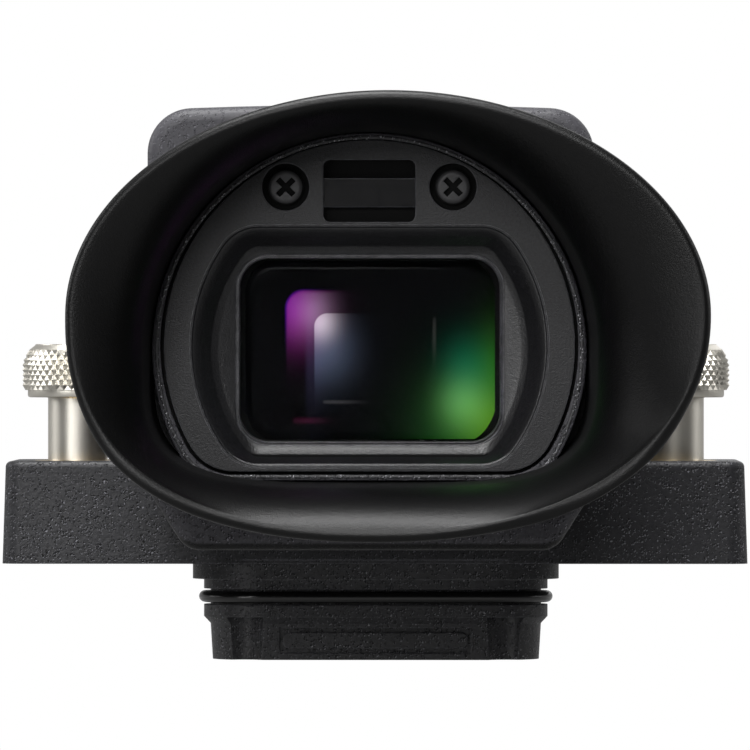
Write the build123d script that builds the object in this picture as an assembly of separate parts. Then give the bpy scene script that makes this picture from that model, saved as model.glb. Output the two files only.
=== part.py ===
from build123d import *
import os
from math import atan, cos, degrees, pi, sin, sqrt

# Electronic viewfinder: a tilting eyepiece head on a mounting bar, with two captive
# thumb screws and a sealed plug underneath. Millimetres, +Z up, the eyepiece faces -Y.
# The origin is the centre of the bar's underside, level with the two screw axes.
# A reach is a distance from the hinge axis towards the eye, along -Y.

# Clearances shared by all the pieces
running_clearance = 0.05
side_clearance = 0.05
free_clearance = 0.3
overrun = 1.0

# Mounting bar
bar_depth = 24.0
bar_height = 12.25
bar_corner_radius = 2.4
bar_edge_radius = 0.7
bar_floor = 3.0
seam_slot_length = 32.0
seam_slot_height = 0.45
seam_slot_depth = 0.8

# Tilt hinge
tongue_half = 19.4
barrel_radius = 11.0
barrel_bar_gap = 1.0
hinge_height = bar_height + barrel_radius + barrel_bar_gap
hinge_washer_diameter = 12.0
hinge_washer_thickness = 0.5
ear_inner_half = tongue_half + hinge_washer_thickness + 2 * side_clearance
ear_thickness = 5.0
ear_radius = 8.5
hinge_shaft_diameter = 6.0
hinge_shaft_reach_in = 5.5
hinge_flange_diameter = 9.0
hinge_flange_thickness = 0.9
hinge_cap_thickness = 1.0
hinge_cap_proud = 0.3
hinge_cap_chamfer = 0.2
hinge_cable_diameter = 1.6
hinge_cable_channel = 2.4
hinge_cable_bend = 2.4
hinge_bush_diameter = 9.0
hinge_bush_length = 4.0
yoke_screw_diameter = 2.5
yoke_screw_head_diameter = 4.6
yoke_screw_head_height = 1.3
yoke_screw_length = 8.0
yoke_screw_x = ear_inner_half + ear_thickness + yoke_screw_head_diameter / 2
yoke_foot_margin = 2.2
yoke_plate_length = 2 * (yoke_screw_x + yoke_foot_margin)
yoke_plate_depth = 19.2
yoke_plate_thickness = 2.5
yoke_plate_corner = 2.0
yoke_screw_edge = 2.4
yoke_screw_y = yoke_plate_depth / 2 - yoke_screw_edge

# Captive thumb screws, one at each end of the bar
screw_yoke_gap = 6.5
screw_spacing = yoke_plate_length + 2 * screw_yoke_gap
bar_end_length = 8.6
bar_top_end_length = 8.2
bar_length = screw_spacing + 2 * bar_end_length
bar_top_length = screw_spacing + 2 * bar_top_end_length
knurl_diameter = 13.4
knurl_height = 5.55
knurl_chamfer = 0.7
knurl_top_inset = 1.55
knurl_crown_inset = 0.85
knurl_crown_height = 1.9
knurl_foot_chamfer = 0.35
head_flange_chamfer = 0.25
head_flange_step = 0.65
head_flange_diameter = knurl_diameter - 2 * head_flange_step
head_flange_height = 0.87
exposed_shoulder = 7.6
shoulder_diameter = 7.2
thread_diameter = 5.0
thread_point_chamfer = 0.6
thread_tip_recess = 0.7
thread_hole_gap = 0.3
thread_hole_diameter = thread_diameter + 2 * thread_hole_gap
screw_land_gap = 0.4
screw_bush_length = 2.4
screw_bush_wall = 1.6
screw_bush_diameter = shoulder_diameter + 2 * screw_bush_wall
screw_ring_thickness = 0.8
screw_ring_lip = 0.6
screw_ring_diameter = shoulder_diameter + 2 * screw_ring_lip
ring_groove_depth = 0.5
ring_groove_diameter = thread_diameter - 2 * ring_groove_depth
ring_groove_play = 0.1
spring_chamber_gap = 0.2
spring_chamber_diameter = screw_ring_diameter + 2 * spring_chamber_gap
screw_spring_diameter = spring_chamber_diameter - 2 * free_clearance
screw_spring_wire = 0.6
screw_spring_stack = 0.55

# Contacts and the plug block round them
contact_columns = 10
contact_pitch = 2.0
contact_row_offset = 1.3
contact_pin_width = 0.6
contact_pin_proud = 0.4
contact_stem_end = 1.0
contact_stem_half = contact_pitch * (contact_columns - 1) / 2 + contact_stem_end
contact_row_wall = 1.3
contact_stem_width = 2 * (contact_row_offset + contact_row_wall)
contact_flange_step = 0.8
contact_flange_height = 1.2
contact_cavity_end = 2.0
contact_cavity_half = contact_stem_half + contact_cavity_end
contact_cavity_width = contact_stem_width + 2 * contact_flange_step
contact_cavity_ceiling = 5.0
plug_boss_end = 2.0
plug_boss_wall = 1.0
plug_boss_length = 2 * (contact_cavity_half + plug_boss_end)
plug_boss_depth = contact_cavity_width + 2 * plug_boss_wall
plug_boss_corner = 1.0
plug_straight_half = plug_boss_length / 2
plug_end_radius = 5.95
plug_groove_half = plug_straight_half + plug_end_radius
plug_groove_height = 1.9
plug_neck_step = 0.8
plug_neck_half = plug_groove_half + plug_neck_step
plug_neck_height = 1.2
plug_flange_step = 1.35
plug_flange_half = plug_neck_half + plug_flange_step
plug_flange_height = 2.0
plug_flange_sink = 0.4
plug_band_height = 1.45
plug_shoulder_height = 0.85
plug_body_step = 0.26
plug_body_half = plug_groove_half - plug_body_step
plug_body_height = 4.3
plug_seal_section = 1.4
panel_end = 2.5
panel_half_length = plug_straight_half - panel_end
panel_height = 3.1
panel_recess = 0.5
panel_rim = 0.4
panel_bar_height = 1.85
panel_bar_radius = 0.8
scoop_offset = 1.8
scoop_place = plug_straight_half + scoop_offset
scoop_radius = 2.4
scoop_depth = 1.7
plug_screw_offset = 3.0
plug_screw_place = plug_boss_length / 2 + plug_screw_offset
plug_screw_diameter = 2.0
plug_screw_head_diameter = 3.8
plug_screw_head_height = 1.2
plug_screw_length = 7.5
base_board_end = 6.0
base_board_length = 2 * (plug_screw_place + base_board_end)
base_board_depth = 13.0
base_board_standoff = 2.5
base_board_height = bar_floor + base_board_standoff
base_board_thickness = 1.0
board_pocket_gap = 1.5
board_pocket_length = base_board_length + 2 * board_pocket_gap
board_pocket_depth = base_board_depth + 2 * board_pocket_gap

# Eyepiece face, outwards from its window, with outlines that are round above a bottom flat
eye_rise = 1.3
optic_height = hinge_height + eye_rise
window_width = 29.8
window_height = 21.0
window_corner_radius = 3.4
window_glass_margin = 1.1
window_glass_thickness = 1.4
window_seal_width = 0.9
window_seal_thickness = 0.4
ledge_side_rim = 2.9
ledge_end_rim = 1.1
ledge_drop = 0.05
ledge_radius = window_width / 2 + ledge_side_rim
ledge_half_height = window_height / 2 + ledge_end_rim
ledge_centre_height = optic_height - ledge_drop
ledge_corner_radius = 2.0
recess_slope_width = 2.55
recess_slope_height = 2.1
recess_rise = 0.4
recess_radius = ledge_radius + recess_slope_width
recess_half_height = ledge_half_height + recess_slope_height
recess_centre_height = optic_height + recess_rise
recess_corner_radius = 5.0
recess_depth = 3.0
bezel_band_height = 10.1
bezel_foot_width = 0.9
bezel_rise = 0.5
bezel_radius = recess_half_height + bezel_band_height
bezel_centre_height = optic_height + bezel_rise
bezel_flat_height = recess_centre_height - recess_half_height - bezel_foot_width
bezel_thickness = 5.0
bezel_rebate_width = 0.35
bezel_rebate_depth = 1.2
sensor_pocket_width = 10.5
sensor_pocket_height = 7.1
sensor_pocket_gap = 0.5
sensor_pocket_low = recess_centre_height + recess_half_height + sensor_pocket_gap
sensor_pocket_centre = sensor_pocket_low + sensor_pocket_height / 2
sensor_pocket_radius = 0.8
sensor_pocket_depth = 1.6
sensor_bar_height = 3.3
sensor_bar_drop = 0.2
sensor_bar_centre = sensor_pocket_centre - sensor_bar_drop
sensor_bar_proud = 1.0
sensor_board_width = 13.0
sensor_board_height = 5.0
sensor_board_thickness = 0.8
sensor_chip_width = 2.2
sensor_chip_offset = 2.6
bezel_screw_diameter = 2.0
bezel_screw_head_diameter = 4.1
bezel_screw_head_height = 1.1
bezel_screw_sink = 0.1
bezel_screw_length = 8.0
bezel_counterbore_gap = 0.65
bezel_counterbore_diameter = bezel_screw_head_diameter + 2 * bezel_counterbore_gap
bezel_screw_gap = 1.6
bezel_screw_x = sensor_pocket_width / 2 + bezel_counterbore_diameter / 2 + bezel_screw_gap
bezel_screw_rise = 0.45
bezel_screw_height = sensor_pocket_centre + bezel_screw_rise
bezel_lug_wall = 1.6
bezel_lug_radius = bezel_screw_diameter / 2 + bezel_lug_wall

# Head box and the collar behind it, which holds the face
collar_rim_width = 1.0
collar_foot_width = 0.8
collar_radius = bezel_radius + collar_rim_width
collar_centre_height = optic_height
collar_flat_height = bezel_flat_height - collar_foot_width
collar_corner_radius = 6.0
collar_wall = 2.3
collar_lip_radius = 0.3
head_side_margin = 0.95
head_top_margin = 3.5
head_foot_margin = 8.1
head_width = 2 * (collar_radius + head_side_margin)
head_top = collar_centre_height + collar_radius + head_top_margin
head_bottom = collar_flat_height - head_foot_margin
head_bar_gap = 1.0
front_casing_length = 17.0
rear_casing_length = 20.0
collar_length = 10.4
bezel_sink = 0.4
head_front_reach = bar_depth / 2 + head_bar_gap
head_parting_reach = head_front_reach + front_casing_length
head_back_reach = head_parting_reach + rear_casing_length
collar_end_reach = head_back_reach + collar_length
bezel_face_reach = collar_end_reach - bezel_sink
head_wall = 1.8
head_corner_radius = 5.2
head_crown = 0.6
head_keel_width = 4.45
head_keel_height = 7.0
head_keel_radius = 3.0
head_side_radius = 1.5
head_edge_radius = 1.5
head_parting_chamfer = 0.25
tongue_straight_rise = 9.0
tongue_straight_top = hinge_height + tongue_straight_rise
tongue_brow_forward = 4.0
tongue_brow_drop = 6.7
tongue_brow_height = head_top - tongue_brow_drop
tongue_brow_length = 9.0
tongue_top_reach = head_front_reach - tongue_brow_length
tongue_top_drop = 0.9
tongue_bend_radius = 5.0
tongue_edge_radius = 1.0
casing_screw_side_inset = 3.15
casing_screw_foot_inset = 10.8
casing_screw_top_inset = 9.2
casing_screw_x = head_width / 2 - casing_screw_side_inset
casing_screw_low = head_bottom + casing_screw_foot_inset
casing_screw_high = head_top - casing_screw_top_inset
casing_screw_diameter = 2.0
casing_screw_head_diameter = 3.8
casing_screw_head_height = 1.3
casing_screw_length = 22.0
casing_post_wall = 1.4
casing_post_radius = casing_screw_diameter / 2 + casing_post_wall

# Eyecup: a straight rubber collar that flares into an oval rim
cup_base_wall = 2.0
cup_rim_wall = 1.6
cup_casing_gap = 0.6
cup_collar_length = 6.4
cup_flare_length = 26.0
cup_start_reach = head_back_reach + cup_casing_gap
cup_flare_reach = cup_start_reach + cup_collar_length
cup_rim_reach = cup_flare_reach + cup_flare_length
cup_rim_centre_x = 2.18
cup_rim_rise = 3.8
cup_side_flare = 9.4
cup_top_squash = 1.55
cup_rim_centre_height = collar_centre_height + cup_rim_rise
cup_rim_half_width = collar_radius + cup_base_wall + cup_side_flare
cup_rim_half_height = collar_radius + cup_base_wall - cup_top_squash
cup_rim_lean = 6.0
cup_flare_power_share = 2.8
cup_base_square_share = 4.0
cup_rim_left_square_share = 2.38
cup_rim_right_square_share = 2.1
cup_round_share = 2.0
cup_stations = 5
cup_outline_points = 28
cup_frame_thickness = 0.8
cup_frame_length = 3.4

# Optics, on rods that run along the line of sight
focus_travel = 1.7
carrier_length = 16.6
carrier_side_margin = 1.4
carrier_end_margin = 1.8
carrier_width = window_width + 2 * carrier_side_margin
carrier_height = window_height + 2 * carrier_end_margin
carrier_wall = 2.6
carrier_corner_radius = 4.0
rod_diameter = 1.6
rod_offset = 2.7
rod_place = carrier_width / 2 + rod_offset
rod_seat_depth = 1.5
carrier_lug_end = 2.3
carrier_lug_reach_out = rod_place + carrier_lug_end
carrier_lug_height = 5.0
carrier_lug_length = 13.0
eye_lens_thickness = 5.0
middle_lens_thickness = 3.0
front_lens_thickness = 3.6
eye_lens_radius = 60.0
middle_lens_radius = 75.0
front_lens_radius = 90.0
lens_spacer_length = 1.4
lens_retainer_length = 1.0
lens_rim_width = 1.6
frame_plate_thickness = 1.6
frame_plate_side_gap = 0.55
frame_plate_width = head_width - 2 * frame_plate_side_gap
display_width = 19.0
display_height = 15.0
display_thickness = 1.2
display_seal_width = 1.5
display_seal_thickness = 0.4
holder_side_margin = 7.5
holder_end_margin = 6.0
holder_width = display_width + 2 * holder_side_margin
holder_height = display_height + 2 * holder_end_margin
holder_wall = 2.0
holder_length = 8.6
driver_board_overhang = 1.5
driver_board_width = holder_width
driver_board_height = holder_height + 2 * driver_board_overhang
driver_board_thickness = 1.0
chip_thickness = 1.2
chip_margin_share = 0.18
board_screw_diameter = 1.6
board_screw_head_diameter = 3.0
board_screw_head_height = 0.9
board_screw_length = 4.0
board_screw_x = holder_width / 2 - holder_wall
flex_width = 6.0
flex_thickness = 0.25
connector_size = 3.0

# Diopter dial on the right side of the head
dial_setback = 9.6
pinion_pitch_radius = 2.5
pinion_teeth = 10
pinion_tooth_height = 0.45
pinion_length = 3.6
rack_side_inset = 4.3
rack_start = carrier_width / 2 - rack_side_inset
pinion_rack_step = 0.2
pinion_start = rack_start + pinion_rack_step
rack_width = 4.0
rack_base_height = 0.9
rack_length = 9.4
tooth_root_share = 0.42
tooth_tip_share = 0.2
dial_shaft_diameter = 2.0
dial_diameter = 11.0
dial_thickness = 2.4
dial_grip_count = 24
dial_grip_radius = 0.35
dial_edge_chamfer = 0.3
dial_bush_wall = 1.2
dial_bush_diameter = dial_shaft_diameter + 2 * dial_bush_wall
dial_bush_length = 6.0
dial_screw_head_diameter = 3.2
dial_screw_head_height = 0.8
dial_screw_diameter = 1.0
dial_screw_length = 4.0

# Cross recess in every small screw head
cross_length_share = 0.62
cross_width_share = 0.16
cross_depth_share = 0.55


def disc(diameter, low, high):
    """A round bar along Z from low to high."""
    return Pos(0, 0, low) * extrude(Circle(diameter / 2), amount=high - low)


def block(x_size, y_size, low, high, corner=0.0):
    """An upright block round the Z axis, with rounded corners where asked."""
    outline = RectangleRounded(x_size, y_size, corner) if corner else Rectangle(x_size, y_size)
    return Pos(0, 0, low) * extrude(outline, amount=high - low)


def box_between(x_low, x_high, y_low, y_high, z_low, z_high):
    """A plain block between two opposite corners."""
    middle = Pos((x_low + x_high) / 2, (y_low + y_high) / 2, (z_low + z_high) / 2)
    return middle * Box(x_high - x_low, y_high - y_low, z_high - z_low)


def eye_plane(reach):
    """The plane across the line of sight at a reach, its normal pointing at the eye."""
    return Plane(origin=(0, -reach, 0), x_dir=(1, 0, 0), z_dir=(0, -1, 0))


def eye_slab(outline, near_reach, far_reach):
    """An outline drawn in X and Z, extruded from one reach to a longer one."""
    return extrude(eye_plane(near_reach) * outline, amount=far_reach - near_reach)


def cross_bar(diameter, x_low, x_high, y_place, height):
    """A round bar along X."""
    plane = Plane(origin=(x_low, y_place, height), x_dir=(0, 1, 0), z_dir=(1, 0, 0))
    return extrude(plane * Circle(diameter / 2), amount=x_high - x_low)


def group(*shapes):
    """Several separate solids kept in one node."""
    return Compound([solid for shape in shapes for solid in shape.solids()])


def mirrored(shape):
    """The shape and its mirror image across the plane X = 0, as one group."""
    return group(shape, mirror(shape, about=Plane.YZ))


def cross_recess(head_diameter, head_height, turn=0.0):
    """The cutter for a cross recess in a head whose top is at height zero."""
    depth = head_height * cross_depth_share
    arm = Box(head_diameter * cross_length_share, head_diameter * cross_width_share, 2 * depth)
    return Rot(0, 0, turn) * (arm + Rot(0, 0, 90) * arm)


def pan_screw(diameter, head_diameter, head_height, length, turn=0.0):
    """A pan head screw along Z: the head's top at zero and the shank below it."""
    head = disc(head_diameter, -head_height, 0)
    top_edges = head.edges().group_by(Axis.Z)[-1]
    head = fillet(top_edges, head_height * cross_depth_share)
    shank = disc(diameter, -head_height - length, -head_height)
    return head + shank - cross_recess(head_diameter, head_height, turn)


def flat_screw(diameter, head_diameter, head_height, length):
    """A countersunk screw along Z: the head's top at zero and the shank below it."""
    cone = Pos(0, 0, -head_height / 2) * Cone(diameter / 2, head_diameter / 2, head_height)
    shank = disc(diameter, -head_height - length, -head_height)
    return cone + shank - cross_recess(head_diameter, head_height)


def flat_screw_hole(diameter, head_diameter, head_height, length):
    """The space that a countersunk screw fills, open above."""
    cone = Pos(0, 0, -head_height / 2) * Cone(diameter / 2, head_diameter / 2, head_height)
    return cone + disc(diameter, -head_height - length, 0) + disc(head_diameter, 0, overrun)


# Mounting bar and thumb screws
bar_draft = degrees(atan((bar_length - bar_top_length) / 2 / bar_height))
ring_top = bar_height - screw_bush_length - ring_groove_play / 2
ring_low = ring_top - screw_ring_thickness
chamber_top = bar_height - screw_bush_length
head_underside = bar_height + exposed_shoulder
knurl_low = head_underside + head_flange_height
knurl_top = knurl_low + knurl_height
screw_travel = exposed_shoulder - screw_land_gap
spring_chamber_floor = ring_low - screw_travel - screw_spring_stack
yoke_plate_low = bar_height - yoke_plate_thickness


def mount_bracket():
    outline = RectangleRounded(bar_length, bar_depth, bar_corner_radius)
    bar = extrude(outline, amount=bar_height, taper=bar_draft)
    bar = fillet(bar.edges().group_by(Axis.Z)[-1], bar_edge_radius)
    pocket_length = yoke_plate_length + 2 * side_clearance
    pocket_depth = yoke_plate_depth + 2 * side_clearance
    pocket = block(pocket_length, pocket_depth, yoke_plate_low, bar_height + overrun, yoke_plate_corner)
    cavity = block(board_pocket_length, board_pocket_depth, bar_floor, yoke_plate_low, yoke_plate_corner)
    boss_hole = block(plug_boss_length, plug_boss_depth, -overrun, bar_floor, plug_boss_corner)
    flange_seat_outline = plug_outline(plug_flange_half + side_clearance)
    flange_pocket = Pos(0, 0, -overrun) * extrude(flange_seat_outline, amount=overrun + plug_flange_sink)
    bar = bar - pocket - cavity - boss_hole - flange_pocket
    slot_y = -bar_depth / 2
    bar -= box_between(
        -seam_slot_length / 2, seam_slot_length / 2,
        slot_y - overrun, slot_y + seam_slot_depth,
        -overrun, seam_slot_height,
    )
    thread_hole = disc(thread_hole_diameter, -overrun, spring_chamber_floor)
    chamber = disc(spring_chamber_diameter, spring_chamber_floor, chamber_top)
    bush_seat = disc(screw_bush_diameter, chamber_top, bar_height + overrun)
    for side in (-1, 1):
        bar -= Pos(side * screw_spacing / 2, 0, 0) * (thread_hole + chamber + bush_seat)
        bar -= Pos(side * plug_screw_place, 0, 0) * disc(plug_screw_diameter, -overrun, bar_floor)
    for x, y in yoke_screw_places():
        bar -= Pos(x, y, 0) * disc(yoke_screw_diameter, bar_height - yoke_screw_depth, bar_height)
    return bar


def yoke_screw_places():
    return [(sx * yoke_screw_x, sy * yoke_screw_y) for sx in (-1, 1) for sy in (-1, 1)]


yoke_screw_depth = yoke_screw_head_height + yoke_screw_length


def screw_bushes():
    bore = shoulder_diameter + 2 * running_clearance
    bush = disc(screw_bush_diameter, chamber_top, bar_height) - disc(bore, chamber_top, bar_height)
    return mirrored(Pos(screw_spacing / 2, 0, 0) * bush)


def thumb_screw():
    """One thumb screw in its raised place, on the Z axis."""
    knurl_radius = knurl_diameter / 2
    cone_low = knurl_top - knurl_chamfer
    outline = Polyline(
        (0, knurl_low),
        (knurl_radius - knurl_foot_chamfer, knurl_low),
        (knurl_radius, knurl_low + knurl_foot_chamfer),
        (knurl_radius, cone_low - knurl_crown_height),
        (knurl_radius - knurl_crown_inset, cone_low),
        (knurl_radius - knurl_top_inset, knurl_top),
        (0, knurl_top),
        close=True,
    )
    knurl = revolve(Plane.XZ * make_face(outline), Axis.Z)
    flange = disc(head_flange_diameter, head_underside, knurl_low)
    flange = chamfer(flange.edges().group_by(Axis.Z)[0], head_flange_chamfer)
    shoulder = disc(shoulder_diameter, chamber_top, head_underside)
    groove_low = ring_low - ring_groove_play / 2
    groove = disc(ring_groove_diameter, groove_low, chamber_top)
    shank = disc(thread_diameter, thread_tip_recess, groove_low)
    shank = chamfer(shank.edges().group_by(Axis.Z)[0], thread_point_chamfer)
    return knurl + flange + shoulder + groove + shank


def retaining_ring():
    """The clip that runs in the screw's groove, open at one side."""
    bore = ring_groove_diameter + 2 * running_clearance
    ring = disc(screw_ring_diameter, ring_low, ring_top) - disc(bore, ring_low, ring_top)
    gap = box_between(-bore / 4, bore / 4, 0, screw_ring_diameter, ring_low, ring_top)
    return ring - gap


def screw_spring():
    """The closed space of the conical spring between the bar's floor and the clip."""
    inner = screw_spring_diameter - 4 * screw_spring_wire
    spring = disc(screw_spring_diameter, spring_chamber_floor, ring_low)
    return spring - disc(inner, spring_chamber_floor, ring_low)


# Plug block
plug_neck_top = -plug_flange_height
plug_groove_top = plug_neck_top - plug_neck_height
plug_band_top = plug_groove_top - plug_groove_height
plug_shoulder_top = plug_band_top - plug_band_height
plug_body_top = plug_shoulder_top - plug_shoulder_height
plug_bottom = plug_body_top - plug_body_height
panel_middle = plug_body_top - panel_rim - panel_height / 2
contact_top = base_board_height
contact_flange_low = -contact_cavity_ceiling - contact_flange_height


def plug_outline(half_length):
    """A slot outline whose straight part keeps one length at every step of the plug."""
    return SlotOverall(2 * half_length, 2 * (half_length - plug_straight_half))


def plug_step(half_length, low, high):
    return Pos(0, 0, low) * extrude(plug_outline(half_length), amount=high - low)


def plug_taper(low_half, low, high_half, high):
    return loft([Pos(0, 0, low) * plug_outline(low_half), Pos(0, 0, high) * plug_outline(high_half)])


def plug_housing():
    plug = plug_step(plug_flange_half, plug_neck_top, plug_flange_sink)
    plug += plug_step(plug_neck_half, plug_groove_top, plug_neck_top)
    plug += plug_step(plug_groove_half, plug_band_top, plug_groove_top)
    plug += plug_step(plug_neck_half, plug_shoulder_top, plug_band_top)
    plug += plug_taper(plug_groove_half, plug_body_top, plug_neck_half, plug_shoulder_top)
    plug += plug_taper(plug_body_half, plug_bottom, plug_groove_half, plug_body_top)
    plug += block(plug_boss_length, plug_boss_depth, plug_flange_sink, bar_floor, plug_boss_corner)
    plug -= plug_panel_cut()
    scoop_y = -(plug_groove_half - plug_straight_half) + scoop_depth - scoop_radius
    scoop = Pos(0, scoop_y, 0) * disc(2 * scoop_radius, plug_bottom - overrun, plug_shoulder_top)
    plug -= Pos(scoop_place, 0, 0) * scoop
    plug -= Pos(-scoop_place, 0, 0) * scoop
    cavity_length = 2 * contact_cavity_half
    plug -= block(
        cavity_length, contact_cavity_width, plug_bottom - overrun, -contact_cavity_ceiling, plug_boss_corner
    )
    plug -= block(2 * contact_stem_half, contact_stem_width, -contact_cavity_ceiling, bar_floor)
    shank_low = bar_floor - plug_screw_length
    for side in (-1, 1):
        plug -= Pos(side * plug_screw_place, 0, 0) * disc(plug_screw_diameter, shank_low, plug_flange_sink)
    return plug


def plug_panel_cut():
    """The recess round the raised bar on the plug's rear face."""
    face_y = -(plug_groove_half - plug_straight_half)
    recess = Rectangle(2 * panel_half_length, panel_height)
    bar = RectangleRounded(2 * (panel_half_length - panel_rim), panel_bar_height, panel_bar_radius)
    face = Plane(origin=(0, face_y + panel_recess, panel_middle), x_dir=(1, 0, 0), z_dir=(0, -1, 0))
    return extrude(face * (recess - bar), amount=panel_recess + overrun)


def plug_seal():
    path_half = plug_groove_half + plug_seal_section / 2
    height = (plug_band_top + plug_groove_top) / 2
    path = (Pos(0, 0, height) * plug_outline(path_half)).wire()
    start = Plane(origin=path @ 0, z_dir=path % 0)
    return sweep(start * Circle(plug_seal_section / 2), path=path)


def contact_block():
    insulator = block(2 * contact_stem_half, contact_stem_width, -contact_cavity_ceiling, contact_top)
    flange_length = 2 * (contact_cavity_half - side_clearance)
    flange_width = contact_cavity_width - 2 * side_clearance
    flange_corner = plug_boss_corner - side_clearance
    flange = block(flange_length, flange_width, contact_flange_low, -contact_cavity_ceiling, flange_corner)
    insulator += flange
    pin_hole = block(contact_pin_width, contact_pin_width, contact_flange_low, contact_top)
    for x, y in contact_places():
        insulator -= Pos(x, y, 0) * pin_hole
    return insulator


def contact_places():
    columns = [contact_pitch * (i - (contact_columns - 1) / 2) for i in range(contact_columns)]
    return [(x, side * contact_row_offset) for x in columns for side in (-1, 1)]


def contact_pins():
    low = contact_flange_low - contact_pin_proud
    pin = block(contact_pin_width, contact_pin_width, low, contact_top)
    return group(*[Pos(x, y, 0) * pin for x, y in contact_places()])


def plug_screws():
    screw = pan_screw(
        plug_screw_diameter, plug_screw_head_diameter, plug_screw_head_height, plug_screw_length
    )
    return mirrored(Pos(plug_screw_place, 0, bar_floor + plug_screw_head_height) * screw)


def base_board():
    low = base_board_height
    return block(base_board_length, base_board_depth, low, low + base_board_thickness, plug_boss_corner)


# Tilt hinge
ear_outer_half = ear_inner_half + ear_thickness
ear_middle = ear_inner_half + ear_thickness / 2
hinge_shaft_start = ear_inner_half - hinge_shaft_reach_in
cap_seat = ear_outer_half - (hinge_cap_thickness - hinge_cap_proud)
flange_seat = cap_seat - hinge_flange_thickness
cable_end = hinge_shaft_start - hinge_shaft_diameter / 2
cable_low = base_board_height + base_board_thickness


def tilt_yoke():
    plate = block(yoke_plate_length, yoke_plate_depth, yoke_plate_low, bar_height, yoke_plate_corner)
    ear_face = Pos(0, hinge_height) * Circle(ear_radius)
    leg_height = hinge_height - bar_height
    ear_face += Pos(0, bar_height + leg_height / 2) * Rectangle(2 * ear_radius, leg_height)
    ear = Pos(ear_inner_half, 0, 0) * extrude(Plane.YZ * ear_face, amount=ear_thickness)
    ear -= cross_bar(hinge_shaft_diameter, ear_inner_half, ear_outer_half, 0, hinge_height)
    ear -= cross_bar(hinge_flange_diameter, flange_seat, ear_outer_half, 0, hinge_height)
    yoke = plate + ear + mirror(ear, about=Plane.YZ)
    yoke -= hinge_cable_space(hinge_cable_channel)
    for x, y in yoke_screw_places():
        hole = flat_screw_hole(
            yoke_screw_diameter, yoke_screw_head_diameter, yoke_screw_head_height, yoke_screw_length
        )
        yoke -= Pos(x, y, bar_height) * hole
    return yoke


def hinge_cable_space(diameter):
    """The cable's way up the left ear and in along the hinge axis."""
    turn = hinge_height - hinge_cable_bend
    upright = Pos(-cable_x, 0, 0) * disc(diameter, cable_low, turn)
    bend = revolve(
        Pos(-cable_x, 0, turn) * Circle(diameter / 2),
        axis=Axis((-cable_x + hinge_cable_bend, 0, turn), (0, 1, 0)),
        revolution_arc=90,
    )
    level = cross_bar(diameter, -cable_x + hinge_cable_bend, -cable_end, 0, hinge_height)
    return upright + bend + level


cable_x = ear_middle - hinge_cable_channel / 2 + hinge_cable_diameter / 2


def yoke_screws():
    screw = flat_screw(
        yoke_screw_diameter, yoke_screw_head_diameter, yoke_screw_head_height, yoke_screw_length
    )
    return group(*[Pos(x, y, bar_height) * screw for x, y in yoke_screw_places()])


def hinge_shafts():
    shaft = cross_bar(hinge_shaft_diameter, hinge_shaft_start, flange_seat, 0, hinge_height)
    shaft += cross_bar(hinge_flange_diameter, flange_seat, cap_seat, 0, hinge_height)
    left = mirror(shaft, about=Plane.YZ) - hinge_cable_space(hinge_cable_channel)
    return group(shaft, left)


def hinge_caps():
    cap = cross_bar(hinge_flange_diameter, cap_seat, ear_outer_half + hinge_cap_proud, 0, hinge_height)
    cap = chamfer(cap.edges().group_by(Axis.X)[-1], hinge_cap_chamfer)
    return mirrored(cap)


def hinge_washers():
    gap = ear_inner_half - tongue_half
    start = tongue_half + (gap - hinge_washer_thickness) / 2
    bore = hinge_shaft_diameter + 2 * running_clearance
    washer = cross_bar(hinge_washer_diameter, start, start + hinge_washer_thickness, 0, hinge_height)
    return mirrored(washer - cross_bar(bore, start, start + hinge_washer_thickness, 0, hinge_height))


def hinge_bushes():
    start = tongue_half - hinge_bush_length
    bore = hinge_shaft_diameter + 2 * running_clearance
    bush = cross_bar(hinge_bush_diameter, start, tongue_half, 0, hinge_height)
    return mirrored(bush - cross_bar(bore, start, tongue_half, 0, hinge_height))


# Head box
head_half = head_width / 2
shoulder_height = head_top - head_crown
post_heights = (casing_screw_low, casing_screw_high)
frame_plate_back = head_parting_reach + frame_plate_thickness / 2
frame_plate_front = head_parting_reach - frame_plate_thickness / 2


def head_outline(inset):
    """The head's cross-section: crowned top, upright sides and a keel that draws in."""
    half = head_half - inset
    low = head_bottom + inset
    keel_top = low + head_keel_height
    keel_half = half - head_keel_width
    right = Polyline((-keel_half, low), (keel_half, low), (half, keel_top), (half, shoulder_height - inset))
    crown = ThreePointArc(
        (half, shoulder_height - inset), (0, head_top - inset), (-half, shoulder_height - inset)
    )
    left = Polyline((-half, shoulder_height - inset), (-half, keel_top), (-keel_half, low))
    outline = make_face([*right.edges(), *crown.edges(), *left.edges()])
    levels = outline.vertices().group_by(Axis.Y)
    outline = fillet(levels[-1], head_corner_radius - inset)
    levels = outline.vertices().group_by(Axis.Y)
    outline = fillet(levels[0], head_keel_radius - inset)
    side_corners = [
        v for v in outline.vertices() if abs(v.Y - keel_top) < head_side_radius / 10
    ]
    return fillet(side_corners, head_side_radius)


def tongue_outline(inset, back_reach):
    """The hinge tongue seen from the side, in Y and Z: a barrel that rises into the head."""
    low = hinge_height - barrel_radius + inset
    front = barrel_radius - inset
    brow = tongue_brow_forward - inset
    top_y = -tongue_top_reach - inset
    top = head_top - tongue_top_drop - inset
    quarter = sqrt(0.5) * front
    barrel = ThreePointArc((0, low), (quarter, hinge_height - quarter), (front, hinge_height))
    rest = Polyline(
        (front, hinge_height),
        (front, tongue_straight_top),
        (brow, tongue_brow_height),
        (top_y, top),
        (-back_reach, top),
        (-back_reach, low),
        (0, low),
    )
    outline = make_face([*barrel.edges(), *rest.edges()])
    bends = [v for v in outline.vertices() if v.Y > hinge_height and v.X > -head_front_reach]
    bends = [v for v in bends if v.Y > (hinge_height + tongue_straight_top) / 2]
    return fillet(bends, tongue_bend_radius)


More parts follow.
